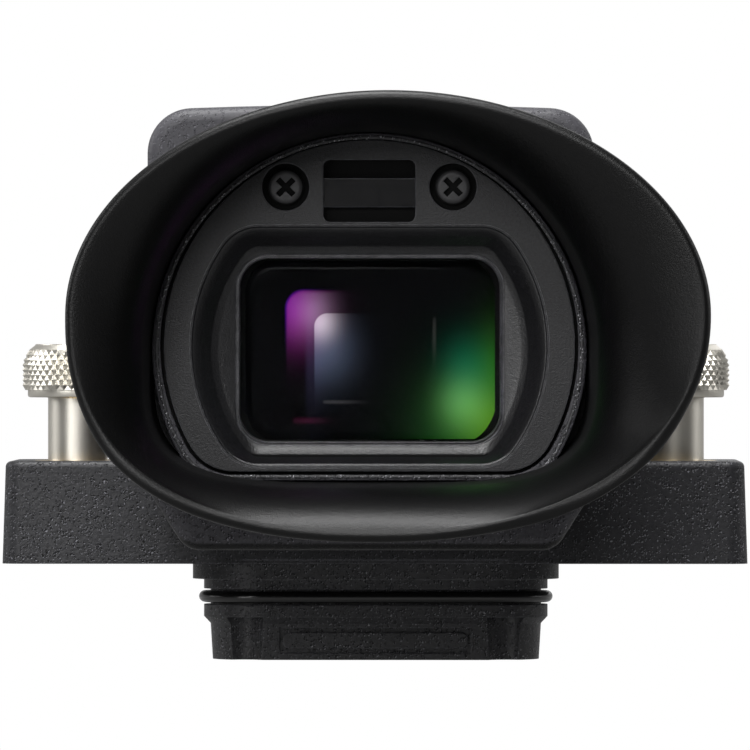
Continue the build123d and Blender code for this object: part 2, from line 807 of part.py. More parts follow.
def casing_posts(near_reach, far_reach):
    """The four round posts that the casing screws pass through, at the head's sides."""
    post = Circle(casing_post_radius)
    places = [(side * casing_screw_x, height) for side in (-1, 1) for height in post_heights]
    return [eye_slab(Pos(x, height) * post, near_reach, far_reach) for x, height in places]


def casing_screw_holes(diameter, near_reach, far_reach):
    hole = Circle(diameter / 2)
    places = [(side * casing_screw_x, height) for side in (-1, 1) for height in post_heights]
    return [eye_slab(Pos(x, height) * hole, near_reach, far_reach) for x, height in places]


def front_casing():
    outline = head_outline(0)
    shell = eye_slab(outline, head_front_reach, head_parting_reach)
    shell = fillet(shell.faces().sort_by(Axis.Y)[-1].edges(), head_edge_radius)
    shell = chamfer(shell.faces().sort_by(Axis.Y)[0].edges(), head_parting_chamfer)
    tongue = extrude(
        Plane.YZ * tongue_outline(0, head_front_reach + head_wall), amount=tongue_half, both=True
    )
    tongue = fillet(tongue_side_edges(tongue), tongue_edge_radius)
    inner = eye_slab(head_outline(head_wall), head_front_reach + head_wall, head_parting_reach + overrun)
    inner_tongue = extrude(
        Plane.YZ * tongue_outline(head_wall, head_front_reach + 2 * head_wall),
        amount=tongue_half - head_wall, both=True,
    )
    casing = shell + tongue - inner - inner_tongue
    limit = eye_slab(head_outline(head_wall / 2), head_front_reach + head_wall / 2, frame_plate_front)
    for post in casing_posts(head_front_reach + head_wall / 2, frame_plate_front):
        casing += post & limit
    bush_boss = hinge_bush_diameter + 2 * head_wall
    bush_start = tongue_half - hinge_bush_length
    boss = cross_bar(bush_boss, bush_start, tongue_half - head_wall / 2, 0, hinge_height)
    bore = cross_bar(hinge_bush_diameter, bush_start, tongue_half, 0, hinge_height)
    casing += boss + mirror(boss, about=Plane.YZ)
    casing = casing - bore - mirror(bore, about=Plane.YZ)
    for hole in casing_screw_holes(casing_screw_diameter, head_front_reach, frame_plate_front):
        casing -= hole
    sink = head_front_reach + casing_screw_head_height
    for hole in casing_screw_holes(casing_screw_head_diameter, head_front_reach - overrun, sink):
        casing -= hole
    return casing


def tongue_side_edges(tongue):
    """The free edges of the tongue's two side faces, without those inside the head."""
    sides = tongue.faces().sort_by(Axis.X)
    edges = [*sides[0].edges(), *sides[-1].edges()]
    return [e for e in edges if e.center().Y > -head_front_reach / 2 and not e.center().Y > barrel_radius]


def rounded_d(radius, centre_height, flat_height, corner_radius):
    """A disc cut flat at the bottom, its two corners rounded."""
    band = 2 * radius
    keep = Pos(0, flat_height + band / 2) * Rectangle(2 * band, band)
    outline = (Pos(0, centre_height) * Circle(radius)) & keep
    corners = outline.vertices().group_by(Axis.Y)[0]
    return fillet(corners, corner_radius)


def barrel_outline(radius, half_height, centre_height, corner_radius):
    """A disc cut flat above and below, its four corners rounded."""
    outline = Pos(0, centre_height) * (Circle(radius) & Rectangle(3 * radius, 2 * half_height))
    levels = outline.vertices().group_by(Axis.Y)
    return fillet([*levels[0], *levels[-1]], corner_radius)


def collar_outline(inset):
    return rounded_d(
        collar_radius - inset, collar_centre_height, collar_flat_height + inset, collar_corner_radius - inset
    )


def bezel_outline(inset):
    return rounded_d(
        bezel_radius - inset, bezel_centre_height, bezel_flat_height + inset, collar_corner_radius - inset
    )


bezel_back_reach = bezel_face_reach - bezel_thickness
ledge_reach = bezel_face_reach - recess_depth
glass_pocket_reach = bezel_back_reach + window_glass_thickness


def rear_casing():
    shell = eye_slab(head_outline(0), head_parting_reach, head_back_reach)
    shell = fillet(shell.faces().sort_by(Axis.Y)[0].edges(), head_edge_radius)
    shell = chamfer(shell.faces().sort_by(Axis.Y)[-1].edges(), head_parting_chamfer)
    collar = eye_slab(collar_outline(0), head_back_reach, collar_end_reach)
    collar = fillet(collar.faces().sort_by(Axis.Y)[0].edges(), collar_lip_radius)
    inner = eye_slab(
        head_outline(head_wall), head_parting_reach - overrun, head_back_reach - head_wall
    )
    throat_near = head_back_reach - 2 * head_wall
    throat = eye_slab(collar_outline(collar_wall), throat_near, collar_end_reach + overrun)
    seat = eye_slab(bezel_outline(-side_clearance), bezel_back_reach, collar_end_reach + overrun)
    casing = shell + collar - inner - throat - seat
    limit = eye_slab(head_outline(head_wall / 2), frame_plate_back, head_back_reach - head_wall / 2)
    for post in casing_posts(frame_plate_back, head_back_reach - head_wall / 2):
        casing += post & limit
    lug_limit = eye_slab(collar_outline(collar_wall / 2), head_back_reach - head_wall, bezel_back_reach)
    lug = Pos(0, 0) * Circle(bezel_lug_radius)
    lug += Pos(0, bezel_lug_radius) * Rectangle(2 * bezel_lug_radius, 2 * bezel_lug_radius)
    lug_near = bezel_back_reach - bezel_screw_length
    for side in (-1, 1):
        place = Pos(side * bezel_screw_x, bezel_screw_height)
        casing += eye_slab(place * lug, lug_near, bezel_back_reach) & lug_limit
    for hole in casing_screw_holes(casing_screw_diameter, frame_plate_back, casing_screw_end):
        casing -= hole
    for side in (-1, 1):
        place = Pos(side * bezel_screw_x, bezel_screw_height)
        casing -= eye_slab(place * Circle(bezel_screw_diameter / 2), lug_near, bezel_back_reach)
    bush = cross_bar(dial_bush_diameter, head_half - dial_bush_length, head_half, -dial_reach, dial_height)
    boss_diameter = dial_bush_diameter + 2 * head_wall
    boss_start = head_half - dial_bush_length
    boss = cross_bar(boss_diameter, boss_start, head_half - head_wall / 2, -dial_reach, dial_height)
    return casing + boss - bush


casing_screw_end = head_front_reach + casing_screw_head_height + casing_screw_length


def casing_screws():
    screw = pan_screw(
        casing_screw_diameter, casing_screw_head_diameter, casing_screw_head_height, casing_screw_length
    )
    facing = Plane(origin=(0, -head_front_reach, 0), x_dir=(-1, 0, 0), z_dir=(0, 1, 0))
    places = [(side * casing_screw_x, height) for side in (-1, 1) for height in post_heights]
    return group(*[facing * (Pos(x, height, 0) * screw) for x, height in places])


# Eyepiece face
def eyepiece_bezel():
    rebate_reach = bezel_face_reach - bezel_rebate_depth
    bezel = eye_slab(bezel_outline(0), bezel_back_reach, rebate_reach)
    bezel += eye_slab(bezel_outline(bezel_rebate_width), rebate_reach, bezel_face_reach)
    outer = barrel_outline(recess_radius, recess_half_height, recess_centre_height, recess_corner_radius)
    inner = barrel_outline(ledge_radius, ledge_half_height, ledge_centre_height, ledge_corner_radius)
    bezel -= loft([eye_plane(ledge_reach) * inner, eye_plane(bezel_face_reach) * outer])
    opening = Pos(0, optic_height) * RectangleRounded(window_width, window_height, window_corner_radius)
    bezel -= eye_slab(opening, bezel_back_reach, bezel_face_reach)
    bezel -= eye_slab(glass_outline(side_clearance), bezel_back_reach, glass_pocket_reach)
    pocket = RectangleRounded(sensor_pocket_width, sensor_pocket_height, sensor_pocket_radius)
    pocket_reach = bezel_face_reach - sensor_pocket_depth
    bezel -= eye_slab(Pos(0, sensor_pocket_centre) * pocket, pocket_reach, bezel_face_reach)
    bar = Pos(0, sensor_bar_centre) * Rectangle(sensor_pocket_width, sensor_bar_height)
    bezel -= eye_slab(bar, bezel_back_reach, pocket_reach)
    for side in (-1, 1):
        place = Pos(side * bezel_screw_x, bezel_screw_height)
        bezel -= eye_slab(place * Circle(bezel_screw_diameter / 2), bezel_back_reach, screw_seat_reach)
        bezel -= eye_slab(place * Circle(bezel_counterbore_diameter / 2), screw_seat_reach, bezel_face_reach)
        rod_hole = Pos(side * rod_place, optic_height) * Circle(rod_diameter / 2)
        bezel -= eye_slab(rod_hole, bezel_back_reach, bezel_back_reach + rod_seat_depth)
    return bezel


screw_seat_reach = bezel_face_reach - bezel_screw_sink - bezel_screw_head_height


def glass_outline(margin):
    width = window_width + 2 * (window_glass_margin + margin)
    height = window_height + 2 * (window_glass_margin + margin)
    return Pos(0, optic_height) * RectangleRounded(width, height, window_corner_radius + window_glass_margin)


def eyepiece_window():
    return eye_slab(glass_outline(0), bezel_back_reach, glass_pocket_reach)


def window_seal():
    opening = RectangleRounded(
        window_width - 2 * window_seal_width, window_height - 2 * window_seal_width, window_corner_radius
    )
    ring = glass_outline(0) - Pos(0, optic_height) * opening
    return eye_slab(ring, bezel_back_reach - window_seal_thickness, bezel_back_reach)


def bezel_screws():
    screws = []
    for side in (-1, 1):
        screw = pan_screw(
            bezel_screw_diameter, bezel_screw_head_diameter, bezel_screw_head_height,
            bezel_screw_length, turn=45,
        )
        facing = eye_plane(bezel_face_reach - bezel_screw_sink)
        screws.append(facing * (Pos(side * bezel_screw_x, bezel_screw_height, 0) * screw))
    return group(*screws)


def sensor_window():
    outline = Pos(0, sensor_bar_centre) * Rectangle(sensor_pocket_width, sensor_bar_height)
    return eye_slab(outline, bezel_back_reach, bezel_face_reach - sensor_pocket_depth + sensor_bar_proud)


def sensor_board():
    outline = Pos(0, sensor_bar_centre) * Rectangle(sensor_board_width, sensor_board_height)
    chip_low = bezel_back_reach - sensor_board_thickness
    return eye_slab(outline, chip_low - sensor_board_thickness, chip_low)


def sensor_emitters():
    chip_low = bezel_back_reach - sensor_board_thickness
    chip = Rectangle(sensor_chip_width, sensor_chip_width)
    place = Pos(sensor_chip_offset, sensor_bar_centre)
    return mirrored(eye_slab(place * chip, chip_low, bezel_back_reach))


# Eyecup
def cup_section(share, inset, reach):
    """One closed outline of the cup, where share runs from 0 at its collar to 1 at its rim."""
    grow = share ** cup_flare_power_share
    base_half = collar_radius + cup_base_wall
    centre_x = grow * cup_rim_centre_x
    centre_z = collar_centre_height + grow * (cup_rim_centre_height - collar_centre_height)
    half_width = base_half + grow * (cup_rim_half_width - base_half) - inset
    rise = base_half + grow * (cup_rim_half_height - base_half) - inset
    base_fall = collar_centre_height - collar_flat_height + cup_base_wall
    fall = base_fall + grow * (cup_rim_half_height - base_fall) - inset
    points = []
    for i in range(cup_outline_points):
        angle = 2 * pi * i / cup_outline_points
        across = cos(angle)
        up = sin(angle)
        square = cup_round_share
        if up < 0:
            rim_square = cup_rim_right_square_share if across > 0 else cup_rim_left_square_share
            square = cup_base_square_share + grow * (rim_square - cup_base_square_share)
        half_height = rise if up > 0 else fall
        radius = ((abs(across) / half_width) ** square + (abs(up) / half_height) ** square) ** (-1 / square)
        lean = share * cup_rim_lean * radius * across / (2 * cup_rim_half_width)
        points.append((centre_x + radius * across, -(reach + lean), centre_z + radius * up))
    return Wire(Edge.make_spline(points, periodic=True))


def cup_solid(start_reach, inset_base, inset_rim, extra):
    """The cup's outer or inner body as a smooth loft from the collar to the rim."""
    collar_face = Face(cup_section(0, inset_base, start_reach))
    collar = extrude(collar_face, amount=cup_flare_reach - start_reach, dir=(0, -1, 0))
    sections = []
    for i in range(cup_stations):
        share = i / (cup_stations - 1)
        inset = inset_base + share * (inset_rim - inset_base)
        reach = cup_flare_reach + share * (cup_rim_reach + extra - cup_flare_reach)
        sections.append(cup_section(share, inset, reach))
    return collar + Solid.make_loft(sections)


def eyecup():
    cup = cup_solid(cup_start_reach, 0, 0, 0)
    hollow_start = (cup_start_reach + cup_flare_reach) / 2
    hollow = cup_solid(hollow_start, cup_base_wall + side_clearance, cup_rim_wall, side_clearance)
    core = eye_slab(collar_outline(0), cup_start_reach - overrun, collar_end_reach + side_clearance)
    cup = cup - core - hollow
    cup -= eye_slab(cup_frame_outline(), cup_start_reach - overrun, cup_start_reach + cup_frame_length)
    return cup


def cup_frame_outline():
    return collar_outline(-cup_frame_thickness)


def eyecup_frame():
    ring = cup_frame_outline() - collar_outline(0)
    return eye_slab(ring, cup_start_reach, cup_start_reach + cup_frame_length)


# Optics
carrier_back_reach = bezel_back_reach - window_seal_thickness - free_clearance - focus_travel
carrier_front_reach = carrier_back_reach - carrier_length
dial_reach = carrier_back_reach - dial_setback
lens_half_width = (carrier_width - 2 * carrier_wall) / 2
lens_half_height = (carrier_height - 2 * carrier_wall) / 2
lens_corner = carrier_corner_radius - carrier_wall
dial_height = optic_height + carrier_height / 2 + rack_base_height + pinion_pitch_radius
pitch = 2 * pi * pinion_pitch_radius / pinion_teeth
eye_retainer_near = carrier_back_reach - lens_retainer_length
eye_lens_near = eye_retainer_near - eye_lens_thickness
middle_lens_near = eye_lens_near - lens_spacer_length - middle_lens_thickness
front_lens_near = middle_lens_near - lens_spacer_length - front_lens_thickness


def bore_outline(margin):
    return Pos(0, optic_height) * RectangleRounded(
        2 * (lens_half_width - margin), 2 * (lens_half_height - margin), lens_corner
    )


def lens_carrier():
    outline = Pos(0, optic_height) * RectangleRounded(carrier_width, carrier_height, carrier_corner_radius)
    tube = eye_slab(outline - bore_outline(0), carrier_front_reach, carrier_back_reach)
    lug_near = (carrier_back_reach + carrier_front_reach - carrier_lug_length) / 2
    lug_far = lug_near + carrier_lug_length
    inner = carrier_width / 2 - carrier_wall / 2
    for side in (-1, 1):
        middle = side * (inner + carrier_lug_reach_out) / 2
        lug = Pos(middle, optic_height) * Rectangle(carrier_lug_reach_out - inner, carrier_lug_height)
        tube += eye_slab(lug, lug_near, lug_far)
        hole = Pos(side * rod_place, optic_height) * Circle(rod_diameter / 2 + running_clearance)
        tube -= eye_slab(hole, lug_near, lug_far)
    return tube + focus_rack()


def tooth_outline():
    """One tooth, standing on the pitch line at zero, with its root sunk below."""
    root = pitch * tooth_root_share / 2
    tip = pitch * tooth_tip_share / 2
    sunk = -2 * pinion_tooth_height
    outline = Polyline(
        (-root, sunk), (root, sunk), (root, -pinion_tooth_height),
        (tip, pinion_tooth_height), (-tip, pinion_tooth_height), (-root, -pinion_tooth_height),
        (-root, sunk),
    )
    return make_face(outline.edges())


def focus_rack():
    """The toothed strip on top of the carrier, its pitch line one radius below the dial's axis."""
    low = optic_height + carrier_height / 2
    pitch_line = low + rack_base_height
    eye_end = -dial_reach - rack_length / 2
    far_end = -dial_reach + rack_length / 2
    x_high = rack_start + rack_width
    body_top = pitch_line - pinion_tooth_height
    sunk = low - carrier_wall / 2
    strip = box_between(rack_start, x_high, eye_end, far_end, sunk, body_top)
    count = int(rack_length / pitch / 2)
    for i in range(-count, count + 1):
        centre = (rack_start, -dial_reach + i * pitch, pitch_line)
        plane = Plane(origin=centre, x_dir=(0, 1, 0), z_dir=(1, 0, 0))
        strip += extrude(plane * tooth_outline(), amount=rack_width)
    ends = box_between(rack_start, x_high, eye_end, far_end, sunk, pitch_line + pitch)
    bore = eye_slab(bore_outline(0), carrier_front_reach, carrier_back_reach)
    return (strip & ends) - bore


def dial_shaft():
    shaft = cross_bar(dial_shaft_diameter, pinion_start, dial_outer, -dial_reach, dial_height)
    root = pinion_pitch_radius - pinion_tooth_height
    pinion = cross_bar(2 * root, pinion_start, pinion_start + pinion_length, -dial_reach, dial_height)
    for i in range(pinion_teeth):
        turn = 2 * pi * (i + 0.5) / pinion_teeth
        out = (0, sin(turn), -cos(turn))
        centre = (
            pinion_start,
            -dial_reach + pinion_pitch_radius * out[1],
            dial_height + pinion_pitch_radius * out[2],
        )
        along = (0, cos(turn), sin(turn))
        plane = Plane(origin=centre, x_dir=along, z_dir=(-1, 0, 0))
        tooth = extrude(plane * tooth_outline(), amount=-pinion_length)
        pinion += tooth
    blind = dial_outer - dial_screw_length
    return shaft + pinion - cross_bar(dial_screw_diameter, blind, dial_outer, -dial_reach, dial_height)


dial_inner = head_half + free_clearance
dial_outer = dial_inner + dial_thickness


def diopter_dial():
    dial = cross_bar(dial_diameter, dial_inner, dial_outer, -dial_reach, dial_height)
    dial = chamfer(dial.edges().group_by(Axis.X)[-1], dial_edge_chamfer)
    dial -= cross_bar(dial_shaft_diameter, dial_inner, dial_outer, -dial_reach, dial_height)
    for i in range(dial_grip_count):
        turn = 2 * pi * i / dial_grip_count
        y = -dial_reach + dial_diameter / 2 * cos(turn)
        z = dial_height + dial_diameter / 2 * sin(turn)
        dial -= cross_bar(2 * dial_grip_radius, dial_inner, dial_outer, y, z)
    return dial


def dial_screw():
    screw = pan_screw(
        dial_screw_diameter, dial_screw_head_diameter, dial_screw_head_height, dial_screw_length
    )
    face = dial_outer + dial_screw_head_height
    return Plane(origin=(face, -dial_reach, dial_height), x_dir=(0, 1, 0), z_dir=(1, 0, 0)) * screw


def dial_bush():
    bore = dial_shaft_diameter + 2 * running_clearance
    start = head_half - dial_bush_length
    bush = cross_bar(dial_bush_diameter, start, head_half, -dial_reach, dial_height)
    return bush - cross_bar(bore, start, head_half, -dial_reach, dial_height)


def lens_blank(near, far):
    return eye_slab(bore_outline(side_clearance), near, far)


def sphere_drop(radius, offset):
    """How far a sphere falls away from its crown at an offset from its axis."""
    return radius - sqrt(radius ** 2 - offset ** 2)


def crown_rise(radius):
    """How far a lens stands through the ring that it rests on."""
    return sphere_drop(radius, lens_half_height - lens_rim_width)


def convex_lens(near, thickness, radius):
    """A lens that bulges both ways and touches its rings at near and at near + thickness."""
    rise = crown_rise(radius)
    far = near + thickness
    blank = lens_blank(near - rise, far + rise)
    far_ball = Pos(0, -(far + rise - radius), optic_height) * Sphere(radius)
    near_ball = Pos(0, -(near - rise + radius), optic_height) * Sphere(radius)
    return blank & far_ball & near_ball


def hollow_lens(near, thickness, radius):
    """A lens whose eye side is hollow and whose display side is flat."""
    diagonal = sqrt(lens_half_width ** 2 + lens_half_height ** 2)
    floor = near + thickness - sphere_drop(radius, diagonal)
    return lens_blank(near, near + thickness) - Pos(0, -(floor + radius), optic_height) * Sphere(radius)


def bore_ring(near, far):
    outline = bore_outline(side_clearance) - bore_outline(lens_rim_width)
    return eye_slab(outline, near, far)


def lens_spacers():
    first = bore_ring(eye_lens_near - lens_spacer_length, eye_lens_near)
    second = bore_ring(middle_lens_near - lens_spacer_length, middle_lens_near)
    return group(first, second)


def lens_retainers():
    first = bore_ring(eye_retainer_near, carrier_back_reach)
    second = bore_ring(front_lens_near - lens_retainer_length, front_lens_near)
    return group(first, second)


def guide_rods():
    outline = Pos(rod_place, optic_height) * Circle(rod_diameter / 2)
    return mirrored(eye_slab(outline, frame_plate_front, bezel_back_reach + rod_seat_depth))


def optics_frame():
    height = casing_screw_high - casing_screw_low + 2 * casing_post_radius
    middle = (casing_screw_high + casing_screw_low) / 2
    plate = Pos(0, middle) * Rectangle(frame_plate_width, height)
    inside = head_outline(head_wall + side_clearance)
    plate = (plate & inside) - bore_outline(0)
    frame = eye_slab(plate, frame_plate_front, frame_plate_back)
    for hole in casing_screw_holes(casing_screw_diameter, frame_plate_front, frame_plate_back):
        frame -= hole
    for side in (-1, 1):
        hole = Pos(side * rod_place, optic_height) * Circle(rod_diameter / 2)
        frame -= eye_slab(hole, frame_plate_front, frame_plate_back)
    return frame


holder_front = frame_plate_front - holder_length
panel_near = holder_front
panel_far = panel_near + display_thickness


def display_holder():
    outer = Pos(0, optic_height) * RectangleRounded(holder_width, holder_height, holder_wall)
    inner = Pos(0, optic_height) * Rectangle(holder_width - 2 * holder_wall, holder_height - 2 * holder_wall)
    seat_reach = panel_far + display_seal_thickness
    holder = eye_slab(outer, holder_front, frame_plate_front)
    holder -= eye_slab(inner, seat_reach + holder_wall, frame_plate_front)
    panel_seat = Pos(0, optic_height) * Rectangle(display_width, display_height)
    holder -= eye_slab(panel_seat, holder_front, seat_reach)
    view = Pos(0, optic_height) * Rectangle(
        display_width - 2 * display_seal_width, display_height - 2 * display_seal_width
    )
    holder -= eye_slab(view, holder_front, frame_plate_front)
    for side in (-1, 1):
        place = Pos(side * board_screw_x, optic_height) * Circle(board_screw_diameter / 2)
        holder -= eye_slab(place, holder_front, holder_front + board_screw_length)
    return holder


def display_panel():
    outline = Pos(0, optic_height) * Rectangle(display_width, display_height)
    return eye_slab(outline, panel_near, panel_far)


def display_seal():
    outline = Rectangle(display_width, display_height) - Rectangle(
        display_width - 2 * display_seal_width, display_height - 2 * display_seal_width
    )
    return eye_slab(Pos(0, optic_height) * outline, panel_far, panel_far + display_seal_thickness)


driver_board_near = holder_front - driver_board_thickness


def driver_board():
    outline = Pos(0, optic_height) * Rectangle(driver_board_width, driver_board_height)
    board = eye_slab(outline, driver_board_near, holder_front)
    for side in (-1, 1):
        place = Pos(side * board_screw_x, optic_height) * Circle(board_screw_diameter / 2)
        board -= eye_slab(place, driver_board_near, holder_front)
    return board


def board_chips():
    side = driver_board_height * chip_margin_share
    near = driver_board_near - chip_thickness
    offset = driver_board_height / 4
    chips = [
        eye_slab(Pos(0, optic_height + offset) * Rectangle(2 * side, side), near, driver_board_near),
        eye_slab(Pos(0, optic_height - offset) * Rectangle(side, side), near, driver_board_near),
    ]
    return group(*chips)


def board_screws():
    screw = pan_screw(
        board_screw_diameter, board_screw_head_diameter, board_screw_head_height, board_screw_shank
    )
    top = driver_board_near - board_screw_head_height
    facing = Plane(origin=(0, -top, 0), x_dir=(-1, 0, 0), z_dir=(0, 1, 0))
    return mirrored(facing * (Pos(board_screw_x, optic_height, 0) * screw))


board_screw_shank = board_screw_length + driver_board_thickness
connector_inner = cable_end - free_clearance


def hinge_connector():
    """The small connector on the hinge axis that takes the cable's turning end."""
    half = connector_size / 2
    low_x = -connector_inner
    return box_between(
        low_x, low_x + connector_size, -half, half, hinge_height - half, hinge_height + half
    )


def flex_cable():
    """The flat ribbon from the hinge connector back to the driver board."""
    low_x = -connector_inner + connector_size / 2 - flex_width / 2
    return box_between(
        low_x, low_x + flex_width, -driver_board_near, -connector_size / 2,
        hinge_height - flex_thickness / 2, hinge_height + flex_thickness / 2,
    )


def hinge_cable():
    return hinge_cable_space(hinge_cable_diameter)


left_place = Pos(-screw_spacing / 2, 0, 0)
right_place = Pos(screw_spacing / 2, 0, 0)

pieces = {
    "mount_bracket": mount_bracket(),
    "screw_bushes": screw_bushes(),
    "left_thumb_screw": left_place * thumb_screw(),
    "right_thumb_screw": right_place * thumb_screw(),
    "left_retaining_ring": left_place * retaining_ring(),
    "right_retaining_ring": right_place * retaining_ring(),
    "left_screw_spring": left_place * screw_spring(),
    "right_screw_spring": right_place * screw_spring(),
    "plug_housing": plug_housing(),
    "plug_seal": plug_seal(),
    "contact_block": contact_block(),
    "contact_pins": contact_pins(),
    "plug_screws": plug_screws(),
    "base_board": base_board(),
    "tilt_yoke": tilt_yoke(),
    "yoke_screws": yoke_screws(),
    "hinge_shafts": hinge_shafts(),
    "hinge_caps": hinge_caps(),
    "hinge_washers": hinge_washers(),
    "hinge_cable": hinge_cable(),
    "hinge_bushes": hinge_bushes(),
    "front_casing": front_casing(),
    "rear_casing": rear_casing(),
    "casing_screws": casing_screws(),
    "eyepiece_bezel": eyepiece_bezel(),
    "bezel_screws": bezel_screws(),
    "eyepiece_window": eyepiece_window(),
    "window_seal": window_seal(),
    "sensor_window": sensor_window(),
    "sensor_board": sensor_board(),
    "sensor_emitters": sensor_emitters(),
    "eyecup": eyecup(),
    "eyecup_frame": eyecup_frame(),
    "lens_carrier": lens_carrier(),
    "eye_lens": convex_lens(eye_lens_near, eye_lens_thickness, eye_lens_radius),
    "middle_lens": hollow_lens(middle_lens_near, middle_lens_thickness, middle_lens_radius),
    "front_lens": convex_lens(front_lens_near, front_lens_thickness, front_lens_radius),
    "lens_spacers": lens_spacers(),
    "lens_retainers": lens_retainers(),
    "guide_rods": guide_rods(),
    "optics_frame": optics_frame(),
    "display_holder": display_holder(),
    "display_panel": display_panel(),
    "display_seal": display_seal(),
    "driver_board": driver_board(),
    "board_chips": board_chips(),
    "board_screws": board_screws(),
    "hinge_connector": hinge_connector(),
    "flex_cable": flex_cable(),
    "diopter_dial": diopter_dial(),
    "dial_shaft": dial_shaft(),
    "dial_screw": dial_screw(),
    "dial_bush": dial_bush(),
}

os.makedirs("parts", exist_ok=True)
for name, shape in pieces.items():
    export_step(shape, f"parts/{name}.step")
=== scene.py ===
"""Looks, studio and camera of an electronic viewfinder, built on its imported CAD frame.

Every length is in millimetres until it meets Blender, where MM turns it into metres.
X runs across the mounting bar, the eye looks along +Y and Z is up.
"""

import logging
import math
from dataclasses import dataclass
from enum import Enum
from typing import Callable, Sequence

import bmesh
import bpy
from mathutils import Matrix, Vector


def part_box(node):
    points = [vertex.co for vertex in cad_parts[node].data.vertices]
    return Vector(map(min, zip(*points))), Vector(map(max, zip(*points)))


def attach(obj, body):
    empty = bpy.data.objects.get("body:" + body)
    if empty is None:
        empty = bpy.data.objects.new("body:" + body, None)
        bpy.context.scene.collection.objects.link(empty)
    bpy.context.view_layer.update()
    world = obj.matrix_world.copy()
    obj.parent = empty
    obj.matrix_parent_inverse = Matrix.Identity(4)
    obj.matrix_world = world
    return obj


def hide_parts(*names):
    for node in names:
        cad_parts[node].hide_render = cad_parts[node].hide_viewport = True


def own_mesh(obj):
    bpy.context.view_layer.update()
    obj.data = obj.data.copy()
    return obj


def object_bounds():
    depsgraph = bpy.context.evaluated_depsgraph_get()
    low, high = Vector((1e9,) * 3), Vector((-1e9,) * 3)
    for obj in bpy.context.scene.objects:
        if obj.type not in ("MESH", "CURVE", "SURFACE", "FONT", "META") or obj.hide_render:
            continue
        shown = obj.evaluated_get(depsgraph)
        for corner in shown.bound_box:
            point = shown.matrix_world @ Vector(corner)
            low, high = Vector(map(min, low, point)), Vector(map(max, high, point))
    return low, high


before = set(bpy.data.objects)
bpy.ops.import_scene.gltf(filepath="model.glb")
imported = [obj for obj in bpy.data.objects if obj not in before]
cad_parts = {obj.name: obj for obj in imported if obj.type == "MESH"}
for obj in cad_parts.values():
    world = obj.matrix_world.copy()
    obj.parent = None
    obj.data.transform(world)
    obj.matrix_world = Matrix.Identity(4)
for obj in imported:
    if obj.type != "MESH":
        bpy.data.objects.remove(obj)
CAD_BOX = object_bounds()
MM = 0.001
Colour = tuple[float, float, float]
log = logging.getLogger("viewfinder")


class Graph:
    """Adds linked shader nodes to one node tree."""

    def __init__(self, tree: bpy.types.NodeTree) -> None:
        """Keeps the tree that gets the nodes.

        Args:
            tree: The node tree of a material, group or world.
        """
        self.tree = tree

    def add(self, kind: str, inputs: dict | None = None, **settings: object) -> bpy.types.Node:
        """Makes one node.

        Args:
            kind: The node's type name.
            inputs: Values or output sockets by input name or number.
            **settings: Properties of the node.

        Returns:
            The new node.
        """
        node = self.tree.nodes.new(kind)
        for name, value in settings.items():
            setattr(node, name, value)
        for key, value in (inputs or {}).items():
            if isinstance(value, bpy.types.NodeSocket):
                self.tree.links.new(value, node.inputs[key])
            else:
                node.inputs[key].default_value = value
        return node

    def math(self, operation: str, *values: object, clamp: bool = False) -> bpy.types.NodeSocket:
        """Makes a math node.

        Args:
            operation: The node's operation.
            *values: Numbers or sockets in order.
            clamp: Whether the result is kept from 0 to 1.

        Returns:
            The result socket.
        """
        node = self.add("ShaderNodeMath", dict(enumerate(values)), operation=operation, use_clamp=clamp)
        return node.outputs[0]

    def vector(self, operation: str, inputs: dict) -> bpy.types.NodeSocket:
        """Makes a vector math node.

        Args:
            operation: The node's operation.
            inputs: Values or output sockets by input name or number.

        Returns:
            The vector socket.
        """
        return self.add("ShaderNodeVectorMath", inputs, operation=operation).outputs[0]

    def grey(self, level: object) -> bpy.types.NodeSocket:
        """Returns a number or value socket as a grey colour."""
        return self.add("ShaderNodeCombineColor", {0: level, 1: level, 2: level}).outputs[0]

    def blend(self, factor: object, low: object, high: object, kind: str = "MIX") -> bpy.types.NodeSocket:
        """Mixes two colours.

        Args:
            factor: Share of the second colour.
            low: First colour or socket.
            high: Second colour or socket.
            kind: Blend type of the mix.

        Returns:
            The colour socket.
        """
        node = self.add("ShaderNodeMix", data_type="RGBA", blend_type=kind, clamp_result=False)
        for index, value in ((0, factor), (6, low), (7, high)):
            if isinstance(value, bpy.types.NodeSocket):
                self.tree.links.new(value, node.inputs[index])
            else:
                node.inputs[index].default_value = value if index == 0 else (*value[:3], 1.0)
        return node.outputs[2]

    def span(self, value: object, low: float, high: float, start: float = 0.0, end: float = 1.0,
             kind: str = "SMOOTHSTEP") -> bpy.types.NodeSocket:
        """Maps a value from one span to another.

        Args:
            value: Number or socket.
            low: Value that gives start.
            high: Value that gives end.
            start: Result at low.
            end: Result at high.
            kind: Interpolation of the map.

        Returns:
            The result socket.
        """
        inputs = {0: value, 1: low, 2: high, 3: start, 4: end}
        return self.add("ShaderNodeMapRange", inputs, interpolation_type=kind).outputs[0]

    def place(self) -> bpy.types.NodeSocket:
        """Returns the point in the object's own space, in metres."""
        return self.add("ShaderNodeTexCoord").outputs["Object"]

    def axes(self) -> tuple[bpy.types.NodeSocket, ...]:
        """Returns the point's X, Y and Z in the object's own space, in metres."""
        return tuple(self.add("ShaderNodeSeparateXYZ", {0: self.place()}).outputs)

    def noise(self, scale: object, detail: float = 2.0, rough: float = 0.5,
              vector: bpy.types.NodeSocket | None = None) -> bpy.types.NodeSocket:
        """Makes a noise texture in the object's own space.

        Args:
            scale: Waves per metre.
            detail: Octaves.
            rough: Share that each octave keeps.
            vector: Point to sample at, or none for the plain place.

        Returns:
            The value socket, from 0 to 1.
        """
        inputs = {"Vector": vector or self.place(), "Scale": scale, "Detail": detail, "Roughness": rough}
        return self.add("ShaderNodeTexNoise", inputs).outputs[0]


